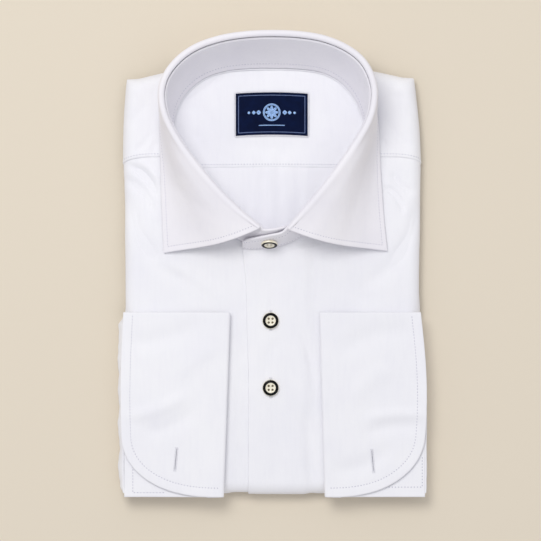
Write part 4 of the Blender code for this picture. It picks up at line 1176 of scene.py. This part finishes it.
def stitch_mesh(name, centres, ways, normals, length, width, height):
    """Stitches at these centres, lying along ways on a surface with these normals."""
    ways = ways / np.linalg.norm(ways, axis=1, keepdims=True)
    sides = np.cross(normals, ways)
    sides = sides / np.linalg.norm(sides, axis=1, keepdims=True)
    angle = np.arange(STITCH_SIDES) * 2 * math.pi / STITCH_SIDES
    template = []
    for along, size in STITCH_RINGS:
        for turn in angle:
            template.append((along * length, size * math.cos(turn) * width / 2,
                             size * math.sin(turn) * height / 2))
    template = np.array(template)
    points = (
        centres[:, None, :]
        + template[None, :, 0:1] * ways[:, None, :]
        + template[None, :, 1:2] * sides[:, None, :]
        + template[None, :, 2:3] * normals[:, None, :]
    )
    faces = []
    for ring in range(len(STITCH_RINGS) - 1):
        for place in range(STITCH_SIDES):
            after = (place + 1) % STITCH_SIDES
            low, high = ring * STITCH_SIDES, (ring + 1) * STITCH_SIDES
            faces.append((low + place, high + place, high + after, low + after))
    ends = [tuple(range(STITCH_SIDES))]
    ends.append(tuple(reversed(range((len(STITCH_RINGS) - 1) * STITCH_SIDES, len(template)))))
    everything = []
    for number in range(len(centres)):
        start = number * len(template)
        everything += [[start + corner for corner in face] for face in faces + ends]
    return plain_mesh(name, points.reshape(-1, 3), everything)


def run_of_stitches(points, normals, pitch, slant=0.0):
    """Centres, ways and normals of stitches a pitch apart along a line on a surface."""
    length = along_line(points)
    count = max(1, int(length[-1] / pitch))
    at = (np.arange(count) + 0.5) * length[-1] / count
    centres = np.stack([np.interp(at, length, points[:, axis]) for axis in range(3)], axis=1)
    ahead = np.stack([np.interp(at + 0.2, length, points[:, axis]) for axis in range(3)], axis=1)
    behind = np.stack([np.interp(at - 0.2, length, points[:, axis]) for axis in range(3)], axis=1)
    facing = np.stack([np.interp(at, length, normals[:, axis]) for axis in range(3)], axis=1)
    facing = facing / np.linalg.norm(facing, axis=1, keepdims=True)
    way = ahead - behind
    way = way / np.linalg.norm(way, axis=1, keepdims=True)
    across = np.cross(facing, way)
    return centres, way * math.cos(slant) + across * math.sin(slant), facing


def joined_runs(runs):
    return [np.concatenate(parts) for parts in zip(*runs)]


def on_surface(surface, x, y):
    """Points and unit normals of a surface that is given as a function of two places."""
    step = 0.4
    points = surface(x, y)
    along = surface(x, y + step) - surface(x, y - step)
    across = surface(x + step, y) - surface(x - step, y)
    normal = np.cross(across, along)
    normal = normal / np.linalg.norm(normal, axis=-1, keepdims=True)
    return points, normal * np.where(normal[..., 2:3] < -0.2, -1.0, 1.0)


SEAM_PITCH = 2.2
SEAM_STITCH = (0.95, 0.6, 0.4)


def seam_stitches(name, lines, lift=0.0):
    """A row of machine stitches along each line, which is points and normals."""
    runs = [
        run_of_stitches(points + normals * lift, normals, SEAM_PITCH)
        for points, normals in lines
    ]
    return stitch_mesh(name, *joined_runs(runs), *SEAM_STITCH)


YOKE_STITCH_ABOVE = 1.9
INNER_STITCH_ABOVE = 1.7


def yoke_stitches():
    lines = []
    for side in (-1, 1):
        u = side * np.linspace(70.0, 110.0, 160)
        lines.append(on_surface(yoke_top, u, yoke_seam_y(u) + YOKE_STITCH_ABOVE))
    return seam_stitches("stitches_yoke", lines, 0.06)


def inner_seam_stitches():
    u = np.linspace(-66.0, 66.0, 300)
    line = on_surface(inside_yoke_top, u, inner_seam_y(u) + INNER_STITCH_ABOVE)
    return seam_stitches("stitches_inner_yoke", [line], 0.06)


def leaf_stitches(outer, normal, down, from_start, to_edge):
    """The leaf's edge stitching: down one front end, along the outer edge, and up the other."""
    length = down[-1]
    rows = np.flatnonzero((down >= LEAF_MARGIN) & (down <= length - LEAF_MARGIN))
    first, last = rows[0], rows[-1]

    def at_margin(row):
        place = np.interp(-LEAF_MARGIN, -to_edge[row], np.arange(to_edge.shape[1]))
        low = int(place)
        share = place - low
        return [mix(grid[row, low], grid[row, low + 1], share) for grid in (outer, normal)]

    def up_an_end(row):
        keep = (from_start[row] > 3.0) & (to_edge[row] > LEAF_MARGIN)
        return outer[row][keep], normal[row][keep]

    right, right_normals = up_an_end(first)
    left, left_normals = up_an_end(last)
    edge = [at_margin(row) for row in rows]
    points = np.concatenate((right, [point for point, _ in edge], left[::-1]))
    normals = np.concatenate((right_normals, [facing for _, facing in edge], left_normals[::-1]))
    return seam_stitches("stitches_collar_leaf", [(points, normals)])


def band_stitches(outer, inner, place):
    """One row inside the band above its foot, and one round the tab at the left front."""
    facing_out = normals_of(outer)
    round_neck = (place > 0.2) & (place < LAST - 0.2)
    low, high = BAND_STITCH_COLUMNS
    lines = [(inner[round_neck, low], -facing_out[round_neck, low])]
    tab = place > LAST - 0.3
    tab = tab & (place < place[-1] - 0.25)
    lines.append((outer[tab, low], facing_out[tab, low]))
    lines.append((outer[tab, high], facing_out[tab, high]))
    return seam_stitches("stitches_collar_band", lines)


UNDER_CUFF_SIDE = {-1: 6.4, 1: 2.2}
UNDER_CUFF_FOOT = {-1: 3.4, 1: 7.4}


def cuff_stitches():
    lines = []
    for cuff in CUFFS:
        outline = cuff_outline(cuff)
        inset = cuff_outline(cuff, CUFF_MARGIN, 0.012)
        inset = inset[np.abs(inset[:, 0]) > cuff.fold_x + cuff.fold_slant + 2.0]

        def top(x, y, cuff=cuff, outline=outline):
            return cuff_top(cuff, x, y, outline)

        def under(x, y):
            z = flat_height(x, y, CUFF_LIFT + CUFF_WALL)
            return np.stack(np.broadcast_arrays(x, y, z), axis=-1)

        lines.append(on_surface(top, inset[:, 0], inset[:, 1]))
        corner_x = cuff.base_x - UNDER_CUFF_SIDE[cuff.side]
        corner_y = CUFF_FOOT_Y + UNDER_CUFF_FOOT[cuff.side]
        y = np.linspace(CUFF_FOOT_Y + 30.0, corner_y, 60)
        lines.append(on_surface(under, np.full(60, cuff.side * corner_x), y))
        x = cuff.side * np.linspace(corner_x, cuff.base_x - 30.0, 60)
        lines.append(on_surface(under, x, np.full(60, corner_y)))
    return seam_stitches("stitches_cuffs", lines, CUFF_STITCH_LIFT)


# Buttonholes: a slit between two ridges of close stitches, with a bar tack at each end.
# A stitch is its length, width and height.

HOLE_STITCH = (1.15, 0.5, 0.42)
BAR_STITCH = (2.6, 0.5, 0.5)
BAR_STITCHES = 3
HOLE_PITCH = 0.42
SLIT_WIDTH = 0.34
PLACKET_SLIT_BELOW = 7.7
PLACKET_SLIT_ABOVE = 7.9


def hole_line(start, end, surface):
    share = np.linspace(0, 1, 60)
    return on_surface(surface, mix(start[0], end[0], share), mix(start[1], end[1], share))


def buttonholes(name, holes):
    """The stitches, bar tacks and painted slit shadows of holes, each given as its start, end and
    surface.
    """
    sides, bars, slit_shadows = [], [], []
    for start, end, surface in holes:
        points, normals = hole_line(start, end, surface)
        centres, ways, facing = run_of_stitches(points, normals, HOLE_PITCH)
        across = np.cross(facing, ways)
        for side in (-1, 1):
            apart = side * (SLIT_WIDTH + HOLE_STITCH[0]) / 2
            sides.append((centres + across * apart, across, facing))
        for rows in (slice(0, BAR_STITCHES), slice(-BAR_STITCHES, None)):
            bars.append((centres[rows], across[rows], facing[rows]))
        slit_shadows.append((points, np.cross(normals, np.gradient(points, axis=0)), normals))
    stitched = stitch_mesh(name, *joined_runs(sides), *HOLE_STITCH)
    tacks = stitch_mesh(f"{name}_bar_tacks", *joined_runs(bars), *BAR_STITCH)
    return stitched, tacks, painted_slit_shadow_mesh(f"{name}_slits", slit_shadows)


def painted_slit_shadow_mesh(name, slit_shadows):
    """Painted shadow in the openings: each a dark grey lens a little above the cloth, which shows
    through the ridges.
    """
    points, faces = [], []
    for line, across, normals in slit_shadows:
        across = across / np.linalg.norm(across, axis=1, keepdims=True)
        share = np.linspace(0, 1, len(line))
        half = SLIT_WIDTH / 2 * np.sqrt(np.maximum(1 - (2 * share - 1) ** 4, 0.02))
        start = sum(len(block) for block in points)
        rows = [line + across * (side * half)[:, None] + normals * lift
                for side, lift in ((-1, 0.02), (0, 0.08), (1, 0.02), (0, -0.06))]
        points.append(np.stack(rows, axis=1).reshape(-1, 3))
        count = len(line)
        for step in range(count - 1):
            for place in range(4):
                after = (place + 1) % 4
                here, there = start + 4 * step, start + 4 * step + 4
                faces.append((here + place, here + after, there + after, there + place))
        faces.append(tuple(start + place for place in range(4)))
        faces.append(tuple(start + 4 * (count - 1) + place for place in (3, 2, 1, 0)))
    return mesh_of(name, np.concatenate(points), faces)


# Buttons

BUTTON_PROFILE = (
    (0.0, 1.72), (1.2, 1.72), (2.4, 1.76), (3.1, 1.86), (3.5, 2.0), (3.75, 2.2), (4.05, 2.34),
    (4.5, 2.4), (5.1, 2.36), (5.5, 2.26), (5.78, 2.08), (5.98, 1.75), (6.08, 1.35), (6.05, 0.9),
    (5.75, 0.45), (5.2, 0.16), (4.4, 0.03), (0.0, 0.0),
)
BUTTON_RING_INNER = 3.72
BUTTON_RING_OUTER = 5.74
BUTTON_RING_LOW = 1.28
BUTTON_HOLE_RADIUS = 0.84
BUTTON_HOLE_OFFSET = 1.42
BUTTON_SEGMENTS = 72
BUTTON_THICKNESS = max(height for _, height in BUTTON_PROFILE)
BUTTON_SHARP_DEGREES = 48


def revolved(profile, segments):
    """Points and faces of a profile turned round Z. It starts and ends on the axis."""
    angle = np.arange(segments) * 2 * math.pi / segments
    points = [(0.0, 0.0, profile[0][1])]
    for radius, height in profile[1:-1]:
        points += [(radius * math.cos(turn), radius * math.sin(turn), height) for turn in angle]
    points.append((0.0, 0.0, profile[-1][1]))
    faces = []
    rings = len(profile) - 2
    for place in range(segments):
        after = (place + 1) % segments
        faces.append((0, 1 + place, 1 + after))
        for ring in range(rings - 1):
            low = 1 + ring * segments
            faces.append((low + place, low + segments + place, low + segments + after, low + after))
        low = 1 + (rings - 1) * segments
        faces.append((low + place, len(points) - 1, low + after))
    return points, faces


def thread_holes():
    build = bmesh.new()
    for x_side in (-1, 1):
        for y_side in (-1, 1):
            place = Vector((x_side, y_side, 1.0)) * BUTTON_HOLE_OFFSET
            bmesh.ops.create_cone(
                build, cap_ends=True, segments=28, depth=8 * MM,
                radius1=BUTTON_HOLE_RADIUS * MM, radius2=BUTTON_HOLE_RADIUS * MM,
                matrix=Matrix.Translation(place * MM),
            )
    mesh = bpy.data.meshes.new("thread_holes")
    build.to_mesh(mesh)
    build.free()
    return link("thread_holes", mesh)


def button_mesh(finishes):
    """A four-hole button. The finishes are its pale body's and its dark ring's."""
    points, faces = revolved(BUTTON_PROFILE, BUTTON_SEGMENTS)
    blank = plain_mesh("button_blank", points, faces)
    cutter = thread_holes()
    cut = blank.modifiers.new("thread_holes", "BOOLEAN")
    cut.object = cutter
    graph = bpy.context.evaluated_depsgraph_get()
    made = bpy.data.meshes.new_from_object(blank.evaluated_get(graph))
    for helper in (blank, cutter):
        bpy.data.objects.remove(helper)
    made.materials.clear()
    for finish in finishes:
        made.materials.append(finish)
    for face in made.polygons:
        radius = math.hypot(face.center.x, face.center.y) / MM
        on_ring = BUTTON_RING_INNER < radius < BUTTON_RING_OUTER
        on_ring = on_ring and face.center.z / MM > BUTTON_RING_LOW
        face.material_index = 1 if on_ring else 0
    made.shade_smooth()
    made.set_sharp_from_angle(angle=math.radians(BUTTON_SHARP_DEGREES))
    return made


PLUG_PROFILE = ((0.0, 1.02), (0.35, 0.98), (0.62, 0.84), (0.78, 0.6), (0.8, 0.2), (0.0, 0.2))


def shaded_button_thread_plugs(name):
    """The thread in the four holes, sunk below the button's face. Its brown, set in make_buttons, is
    painted shade of the shadowed holes.
    """
    points, faces = revolved(PLUG_PROFILE, 16)
    all_points, all_faces = [], []
    for x_side in (-1, 1):
        for y_side in (-1, 1):
            offset = np.array((x_side, y_side, 0)) * BUTTON_HOLE_OFFSET
            start = len(all_points)
            all_points += [np.array(point) + offset for point in points]
            all_faces += [[start + corner for corner in face] for face in faces]
    return plain_mesh(name, all_points, all_faces)


def tab_tilt():
    """How far the tab leans under the collar button, from level."""
    low, high = box_mm("button_collar")
    x = (low[0] + high[0]) / 2
    seams = [(end.seam_x, end.seam_y) for end in reversed(TAB_END)]
    tops = [(end.top_x, end.top_y, end.top_z) for end in reversed(TAB_END)]
    foot_y = curve([seam[0] for seam in seams], [seam[1] for seam in seams], x)
    top_y = curve([top[0] for top in tops], [top[1] for top in tops], x)
    top_z = curve([top[0] for top in tops], [top[2] for top in tops], x)
    return math.atan2(float(top_z - foot_z(x, foot_y)), float(top_y - foot_y))


def place_button(node, mesh, tilt):
    """A button where its CAD node is, with its face turned by tilt from straight up."""
    low, high = box_mm(node)
    face = Vector((0.0, -math.sin(tilt), math.cos(tilt)))
    place = Vector((low + high) / 2) - face * BUTTON_THICKNESS / 2
    made = []
    for each in (link(f"shirt_{node}", mesh), shaded_button_thread_plugs(f"shirt_{node}_thread")):
        each.location = place * MM
        each.rotation_euler = (tilt, 0.0, 0.0)
        made.append(each)
    return made


# The label: satin on the inner yoke, with a plain frame and a rosette in pale thread

LABEL_BOW = 1.0
LABEL_FRAME_INSET = 2.1
LABEL_EDGE_REACH = 0.4
ROSETTE_RADIUS = 6.2
FRAME_STITCH = (0.85, 0.36, 0.3)
MOTIF_STITCH = (0.8, 0.34, 0.32)
EDGE_STITCH = (1.35, 0.6, 0.5)


def label_centre():
    low, high = box_mm("label")
    half = (high - low) / 2
    return (low + high) / 2 - (0, LABEL_BOW / 2, 0), (half[0], half[1] - LABEL_BOW / 2)


def label_top(x, y, lift=0.0):
    """Points over the label, by places measured from its middle."""
    middle, half = label_centre()
    bow = LABEL_BOW * (1 - (x / half[0]) ** 2)
    edge = np.maximum(np.abs(x) / half[0], np.abs(y) / half[1])
    curl = 0.18 * smooth_step(0.86, 1.0, edge) + ripple(x, y, 0.05, 21.0)
    height = BACK_LIFT + PLY + GAP + LABEL_WALL + lift + curl
    return body(middle[0] + x, middle[1] + y + bow, height)


def label():
    half = label_centre()[1]
    across, down = (spaced(2 * size, 0.8, LABEL_WALL) for size in half)
    x, y = np.meshgrid(across - half[0], down - half[1])
    middle = label_top(x, y)
    middle = middle - normals_of(middle) * LABEL_WALL / 2
    return shell("shirt_label", middle, rim_share(down, across, LABEL_WALL))[0]


def closed_line(corners, step=0.25):
    """Places along the straight sides between corners, and back to the first."""
    line = []
    for start, end in zip(corners, corners[1:] + corners[:1]):
        count = max(2, int(math.dist(start, end) / step))
        line += [(mix(start[0], end[0], n / count), mix(start[1], end[1], n / count))
                 for n in range(count)]
    return np.array(line + [corners[0]])


def arc(centre, radius, start=0.0, end=2 * math.pi, squash=1.0, turn=0.0):
    angle = np.linspace(start, end, 90)
    x, y = radius * np.cos(angle), radius * squash * np.sin(angle)
    return np.stack((
        centre[0] + x * math.cos(turn) - y * math.sin(turn),
        centre[1] + x * math.sin(turn) + y * math.cos(turn),
    ), axis=1)


def lozenge(x, y, size):
    return closed_line([(x - size, y), (x, y - size), (x + size, y), (x, y + size)])


def label_rectangle(inset):
    """The label's outline, an even inset inside it, or outside it where inset is negative."""
    half = label_centre()[1]
    x, y = half[0] - inset, half[1] - inset
    return closed_line([(-x, -y), (x, -y), (x, y), (-x, y)])


def embroidered(name, lines, pitch, size, slant):
    runs = []
    for line in lines:
        points, normals = on_surface(label_top, line[:, 0], line[:, 1])
        runs.append(run_of_stitches(points, normals, pitch, slant))
    return stitch_mesh(name, *joined_runs(runs), *size)


def label_frame():
    line = label_rectangle(LABEL_FRAME_INSET)
    return embroidered("label_frame", [line], 0.42, FRAME_STITCH, 0.9)


def label_motif():
    """A plain rosette: a ring, eight petals round a dot, two sprigs of lozenges and a rule."""
    centre = (0.0, 0.9)
    lines = [arc(centre, ROSETTE_RADIUS), arc(centre, ROSETTE_RADIUS - 0.75), arc(centre, 0.55)]
    for number in range(8):
        turn = number * math.pi / 4
        middle = (centre[0] + 2.9 * math.cos(turn), centre[1] + 2.9 * math.sin(turn))
        for share in (1.0, 0.55):
            lines.append(arc(middle, 1.75 * share, squash=0.42, turn=turn))
    for side in (-1, 1):
        for number, size in enumerate((1.5, 1.15, 0.8)):
            x = side * (9.6 + 3.6 * number)
            lines += [lozenge(x, centre[1], size), lozenge(x, centre[1], size * 0.5)]
    rule = np.stack((np.linspace(-9.5, 9.5, 80), np.full(80, -8.6)), axis=1)
    lines.append(rule)
    return embroidered("label_motif", lines, 0.34, MOTIF_STITCH, 1.0)


def label_edge_stitches():
    """Fine white overcasting round the label's edge, which sews it to the yoke."""
    line = label_rectangle(-LABEL_EDGE_REACH)

    def beside(x, y):
        return label_top(x, y, -0.25)

    points, normals = on_surface(beside, line[:, 0], line[:, 1])
    run = run_of_stitches(points, normals, 0.62, 1.25)
    return stitch_mesh("stitches_label", *run, *EDGE_STITCH)


# Materials


def linear(red, green, blue):
    """A colour given in the 0 to 255 steps of a screen, as the renderer's linear light."""
    values = [part / 255 for part in (red, green, blue)]
    return [part / 12.92 if part <= 0.04045 else ((part + 0.055) / 1.055) ** 2.4 for part in values]


class Surface:
    """A Principled material and the few node chains that the shirt's finishes share."""

    def __init__(self, name, roughness, sheen=0.0, coat=0.0, specular=0.5):
        self.made = bpy.data.materials.new(name)
        self.made.use_nodes = True
        self.tree = self.made.node_tree
        self.shader = self.tree.nodes["Principled BSDF"]
        self.shader.inputs["Roughness"].default_value = roughness
        self.shader.inputs["Sheen Weight"].default_value = sheen
        self.shader.inputs["Sheen Roughness"].default_value = 0.45
        self.shader.inputs["Coat Weight"].default_value = coat
        self.shader.inputs["Coat Roughness"].default_value = 0.06
        self.shader.inputs["Specular IOR Level"].default_value = specular
        self.place = self.tree.nodes.new("ShaderNodeTexCoord").outputs["Object"]
        self.relief = None

    def link(self, start, end):
        self.tree.links.new(start, end)

    def turned(self, angle, stretch=(1.0, 1.0, 1.0)):
        mapping = self.tree.nodes.new("ShaderNodeMapping")
        mapping.inputs["Rotation"].default_value = (0.0, 0.0, angle)
        mapping.inputs["Scale"].default_value = stretch
        self.link(self.place, mapping.inputs["Vector"])
        return mapping.outputs["Vector"]

    def noise(self, size, detail=3.0, place=None):
        """Noise with features about size millimetres across."""
        made = self.tree.nodes.new("ShaderNodeTexNoise")
        made.inputs["Scale"].default_value = 1.0 / (size * MM)
        made.inputs["Detail"].default_value = detail
        self.link(place or self.place, made.inputs["Vector"])
        return made.outputs["Fac"]

    def yarns(self, pitch, angle, direction="X", distortion=0.0):
        """Even ridges a pitch in millimetres apart."""
        wave = self.tree.nodes.new("ShaderNodeTexWave")
        wave.bands_direction = direction
        wave.inputs["Scale"].default_value = 2 * math.pi / 20 / (pitch * MM)
        wave.inputs["Distortion"].default_value = distortion
        wave.inputs["Detail"].default_value = 1.0
        wave.inputs["Detail Scale"].default_value = 0.4
        self.link(self.turned(angle), wave.inputs["Vector"])
        return wave.outputs["Fac"]

    def blend(self, factor, first, second):
        """Two colours mixed by a factor."""
        made = self.tree.nodes.new("ShaderNodeMix")
        made.data_type = "RGBA"
        self.link(factor, made.inputs["Factor"])
        for socket, colour in (("A", first), ("B", second)):
            target = [each for each in made.inputs if each.name == socket and each.type == "RGBA"][0]
            if isinstance(colour, bpy.types.NodeSocket):
                self.link(colour, target)
            else:
                target.default_value = (*colour, 1.0)
        return [each for each in made.outputs if each.type == "RGBA"][0]

    def ranged(self, factor, low, high, start=0.3, end=0.7):
        """A factor spread between two values."""
        made = self.tree.nodes.new("ShaderNodeMapRange")
        made.inputs["From Min"].default_value = start
        made.inputs["From Max"].default_value = end
        made.inputs["To Min"].default_value = low
        made.inputs["To Max"].default_value = high
        self.link(factor, made.inputs["Value"])
        return made.outputs["Result"]

    def colour(self, value):
        self.link(value, self.shader.inputs["Base Color"])

    def roughness(self, value):
        self.link(value, self.shader.inputs["Roughness"])

    def bump(self, height, distance, strength=1.0):
        """One more layer of relief, distance in millimetres."""
        made = self.tree.nodes.new("ShaderNodeBump")
        made.inputs["Strength"].default_value = strength
        made.inputs["Distance"].default_value = distance * MM
        self.link(height, made.inputs["Height"])
        if self.relief is not None:
            self.link(self.relief, made.inputs["Normal"])
        self.relief = made.outputs["Normal"]
        self.link(self.relief, self.shader.inputs["Normal"])


WHITE = linear(241, 241, 245)
WHITE_SHADE = linear(236, 236, 242)
COLLAR_WHITE = linear(240, 238, 243)
COLLAR_SHADE = linear(234, 232, 239)
TWILL_PITCH = 0.62
YARN_PITCH = 0.34


def cotton(name, light, shade, twill_angle=math.pi / 4):
    """Fine two-fold cotton twill: close diagonal ribs, a soft sheen and the odd thicker yarn."""
    made = Surface(name, 0.72, sheen=0.22, specular=0.28)
    cloudy = made.noise(38.0, 4.0)
    slub = made.noise(2.2, 2.0, made.turned(0.0, (1.0, 0.12, 1.0)))
    tone = made.blend(made.ranged(cloudy, 0.0, 1.0), light, shade)
    made.colour(made.blend(made.ranged(slub, 0.0, 0.12, 0.45, 0.75), tone, linear(222, 222, 232)))
    made.roughness(made.ranged(made.noise(9.0), 0.66, 0.8))
    made.bump(made.yarns(TWILL_PITCH, twill_angle, "DIAGONAL", 0.6), 0.02, 0.55)
    made.bump(made.yarns(YARN_PITCH, 0.0, "Y", 0.4), 0.010, 0.4)
    made.bump(slub, 0.03, 0.4)
    return made.made


def thread_finish(name, light, shade, specular=0.35):
    """Two-ply sewing thread."""
    made = Surface(name, 0.55, sheen=0.15, specular=specular)
    made.colour(made.blend(made.ranged(made.noise(0.9), 0.0, 1.0), light, shade))
    made.bump(made.yarns(0.22, math.pi / 3, "DIAGONAL", 0.3), 0.03, 0.6)
    return made.made


def label_satin():
    """Navy damask: fine crosswise ribs with a cool gloss."""
    made = Surface("label_navy_satin", 0.5, specular=0.02)
    ribs = made.yarns(0.42, 0.0, "Y", 0.5)
    cloudy = made.noise(6.0, 3.0)
    navy = made.blend(made.ranged(cloudy, 0.0, 1.0), linear(9, 18, 46), linear(14, 26, 60))
    made.colour(made.blend(made.ranged(ribs, 0.0, 0.35, 0.2, 0.9), navy, linear(7, 13, 34)))
    made.roughness(made.ranged(cloudy, 0.36, 0.5))
    made.bump(ribs, 0.05, 0.5)
    made.bump(made.yarns(0.5, 0.0, "X", 0.3), 0.02, 0.35)
    return made.made


def button_pale():
    """The cream middle of the buttons, faintly veined like horn."""
    made = Surface("button_cream_horn", 0.3, coat=0.35)
    veins = made.noise(1.6, 5.0, made.turned(0.5, (1.0, 0.3, 1.0)))
    spread = made.ranged(veins, 0.0, 1.0, 0.35, 0.7)
    made.colour(made.blend(spread, linear(243, 239, 222), linear(224, 214, 188)))
    made.roughness(made.ranged(veins, 0.24, 0.38))
    made.bump(veins, 0.02, 0.3)
    return made.made


def button_ring():
    """The polished black ring round them."""
    made = Surface("button_black_horn", 0.2, specular=0.12)
    veins = made.noise(1.1, 4.0, made.turned(0.9, (1.0, 0.4, 1.0)))
    made.colour(made.blend(made.ranged(veins, 0.0, 1.0), linear(4, 5, 7), linear(13, 15, 18)))
    made.roughness(made.ranged(veins, 0.1, 0.2))
    made.bump(made.noise(0.5, 2.0), 0.01, 0.3)
    return made.made


# Making the shirt


def add(piece, finish, node=None):
    """Paints a piece, puts it on the shirt's one body and hides its CAD node."""
    if finish:
        piece.data.materials.clear()
        piece.data.materials.append(finish)
    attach(piece, "root")
    if node:
        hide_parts(node)


def make_cloth():
    shirting = cotton("white_cotton_twill", WHITE, WHITE_SHADE)
    collar_cloth = cotton("collar_cotton_twill", COLLAR_WHITE, COLLAR_SHADE, -math.pi / 4)
    white_thread = thread_finish("white_thread", linear(238, 238, 242), linear(222, 222, 230))
    # The seam thread is grey, darker than the white thread: painted shade that stands in for the shadows
    # at the needle holes along each seam.
    seam_thread_painted_shade = thread_finish("seam_thread_painted_shade", linear(200, 200, 214), linear(184, 184, 200))
    body_pieces = (
        (back_panel(), "back_panel"),
        (yoke_inside(), "yoke_inner"),
        (yoke(), "yoke_outer"),
        (front("shirt_front_right", -1), "front_right"),
        (front("shirt_front_left", 1), "front_left"),
    )
    for piece, node in body_pieces:
        add(piece, shirting, node)
    add(core(), shirting, "folded_core")
    for cuff in CUFFS:
        for piece, node in ((double_cuff(cuff), "cuff"), (sleeve(cuff), "sleeve")):
            add(piece, shirting, f"{node}_{cuff.name}")
    band, *band_grids = collar_band()
    leaf, *leaf_grids = collar_leaf()
    for piece, node in ((band, "collar_band"), (leaf, "collar_leaf")):
        add(piece, collar_cloth, node)
    stitched = (
        yoke_stitches(),
        inner_seam_stitches(),
        leaf_stitches(*leaf_grids),
        band_stitches(*band_grids),
        cuff_stitches(),
    )
    for piece in stitched:
        add(piece, seam_thread_painted_shade)
    make_buttonholes(white_thread)
    return white_thread


def make_buttonholes(white_thread):
    # The slits' dark grey is painted shadow of the gap between each buttonhole's two ridges.
    dark = thread_finish("shadowed_slit", linear(140, 140, 156), linear(118, 118, 134), 0.1)
    placket, links = [], []

    def left_front_top(u, v):
        return front_top(1, u, v)

    for node in ("button_1", "button_2"):
        x, y, _ = sum(box_mm(node)) / 2
        foot, top = (x, y - PLACKET_SLIT_BELOW), (x, y + PLACKET_SLIT_ABOVE)
        placket.append((foot, top, left_front_top))
    for cuff in CUFFS:
        outline = cuff_outline(cuff)
        x, y = LINK_HOLES[cuff.side]
        lean, half = LINK_HOLE_HALF

        def link_top(u, v, cuff=cuff, outline=outline):
            return cuff_top(cuff, u, v, outline)

        lean = lean * cuff.side
        links.append(((x - lean, y - half), (x + lean, y + half), link_top))
    for name, holes in (("buttonholes_front", placket), ("buttonholes_cuffs", links)):
        stitched, tacks, slit_shadows = buttonholes(name, holes)
        for piece, finish in ((stitched, white_thread), (tacks, white_thread), (slit_shadows, dark)):
            add(piece, finish)


def make_label(white_thread):
    pale = thread_finish("pale_blue_thread", linear(176, 210, 250), linear(146, 184, 238))
    frame_grey = thread_finish("frame_thread", linear(112, 130, 172), linear(90, 108, 150))
    cloth = label()
    add(cloth, label_satin(), "label")
    for piece, finish in ((label_frame(), frame_grey), (label_motif(), pale),
                          (label_edge_stitches(), white_thread)):
        add(piece, finish)


def make_buttons():
    mesh = button_mesh((button_pale(), button_ring()))
    # The thread in the button holes is brown as painted shade: it stands in for the shadow down in the
    # holes.
    thread = thread_finish("button_thread_painted_shade", linear(150, 138, 118), linear(112, 98, 80))
    for node in ("button_1", "button_2", "button_collar"):
        tilt = tab_tilt() if node == "button_collar" else 0.0
        made, shaded_thread_plugs = place_button(node, mesh, tilt)
        add(made, None, node)
        add(shaded_thread_plugs, thread)


# Floor, light and camera

VIEW_X = -1.5
VIEW_Y = -4.9
VIEW_WIDTH = 397.6
VIEW_LEVEL = 18.0
CAMERA_ABOVE = 3000.0
SENSOR = 36.0
FLOOR_REACH = 4000.0
FLOOR_DROP = 0.1
FLOOR_COLOUR = linear(224, 214, 197)
SKY_COLOUR = (0.975, 0.975, 1.0, 1.0)
SKY_STRENGTH = 0.62
Lamp = namedtuple("Lamp", "name place size power colour")
LAMPS = (
    Lamp("key", (-0.42, 0.75, 1.8), 0.9, 16.9, (1.0, 0.988, 0.965)),
    Lamp("fill", (0.7, -0.4, 2.0), 1.4, 3.0, (0.97, 0.98, 1.0)),
)


def make_floor():
    reach = FLOOR_REACH
    corners = ((-reach, -reach, 0), (reach, -reach, 0), (reach, reach, 0), (-reach, reach, 0))
    floor = plain_mesh("floor", corners, [(0, 1, 2, 3)])
    floor.location.z = cad_box[0].z - FLOOR_DROP * MM
    finish = bpy.data.materials.new("pale_floor")
    finish.use_nodes = True
    shader = finish.node_tree.nodes["Principled BSDF"]
    shader.inputs["Base Color"].default_value = (*FLOOR_COLOUR, 1.0)
    shader.inputs["Roughness"].default_value = 0.9
    shader.inputs["Specular IOR Level"].default_value = 0.1
    floor.data.materials.append(finish)


def make_lights():
    world = bpy.data.worlds.new("studio")
    world.use_nodes = True
    sky = world.node_tree.nodes["Background"]
    sky.inputs["Color"].default_value = SKY_COLOUR
    sky.inputs["Strength"].default_value = SKY_STRENGTH
    bpy.context.scene.world = world
    for lamp in LAMPS:
        light = bpy.data.lights.new(lamp.name, "AREA")
        light.size = lamp.size
        light.energy = lamp.power
        light.color = lamp.colour
        made = link(lamp.name, light)
        made.location = lamp.place
        made.rotation_euler = (-Vector(lamp.place)).to_track_quat("-Z", "Y").to_euler()


def make_camera():
    """Straight above the shirt, far enough off to see it nearly without perspective."""
    lens = bpy.data.cameras.new("camera")
    lens.sensor_width = SENSOR
    lens.lens = SENSOR * CAMERA_ABOVE / VIEW_WIDTH
    lens.clip_start = 0.1
    lens.clip_end = 20.0
    camera = link("camera", lens)
    camera.location = Vector((VIEW_X, VIEW_Y, VIEW_LEVEL + CAMERA_ABOVE)) * MM
    bpy.context.scene.camera = camera


make_camera()
make_floor()
make_lights()
bpy.context.scene.view_settings.view_transform = "Standard"
label_thread = make_cloth()
make_label(label_thread)
make_buttons()

bpy.context.view_layer.update()
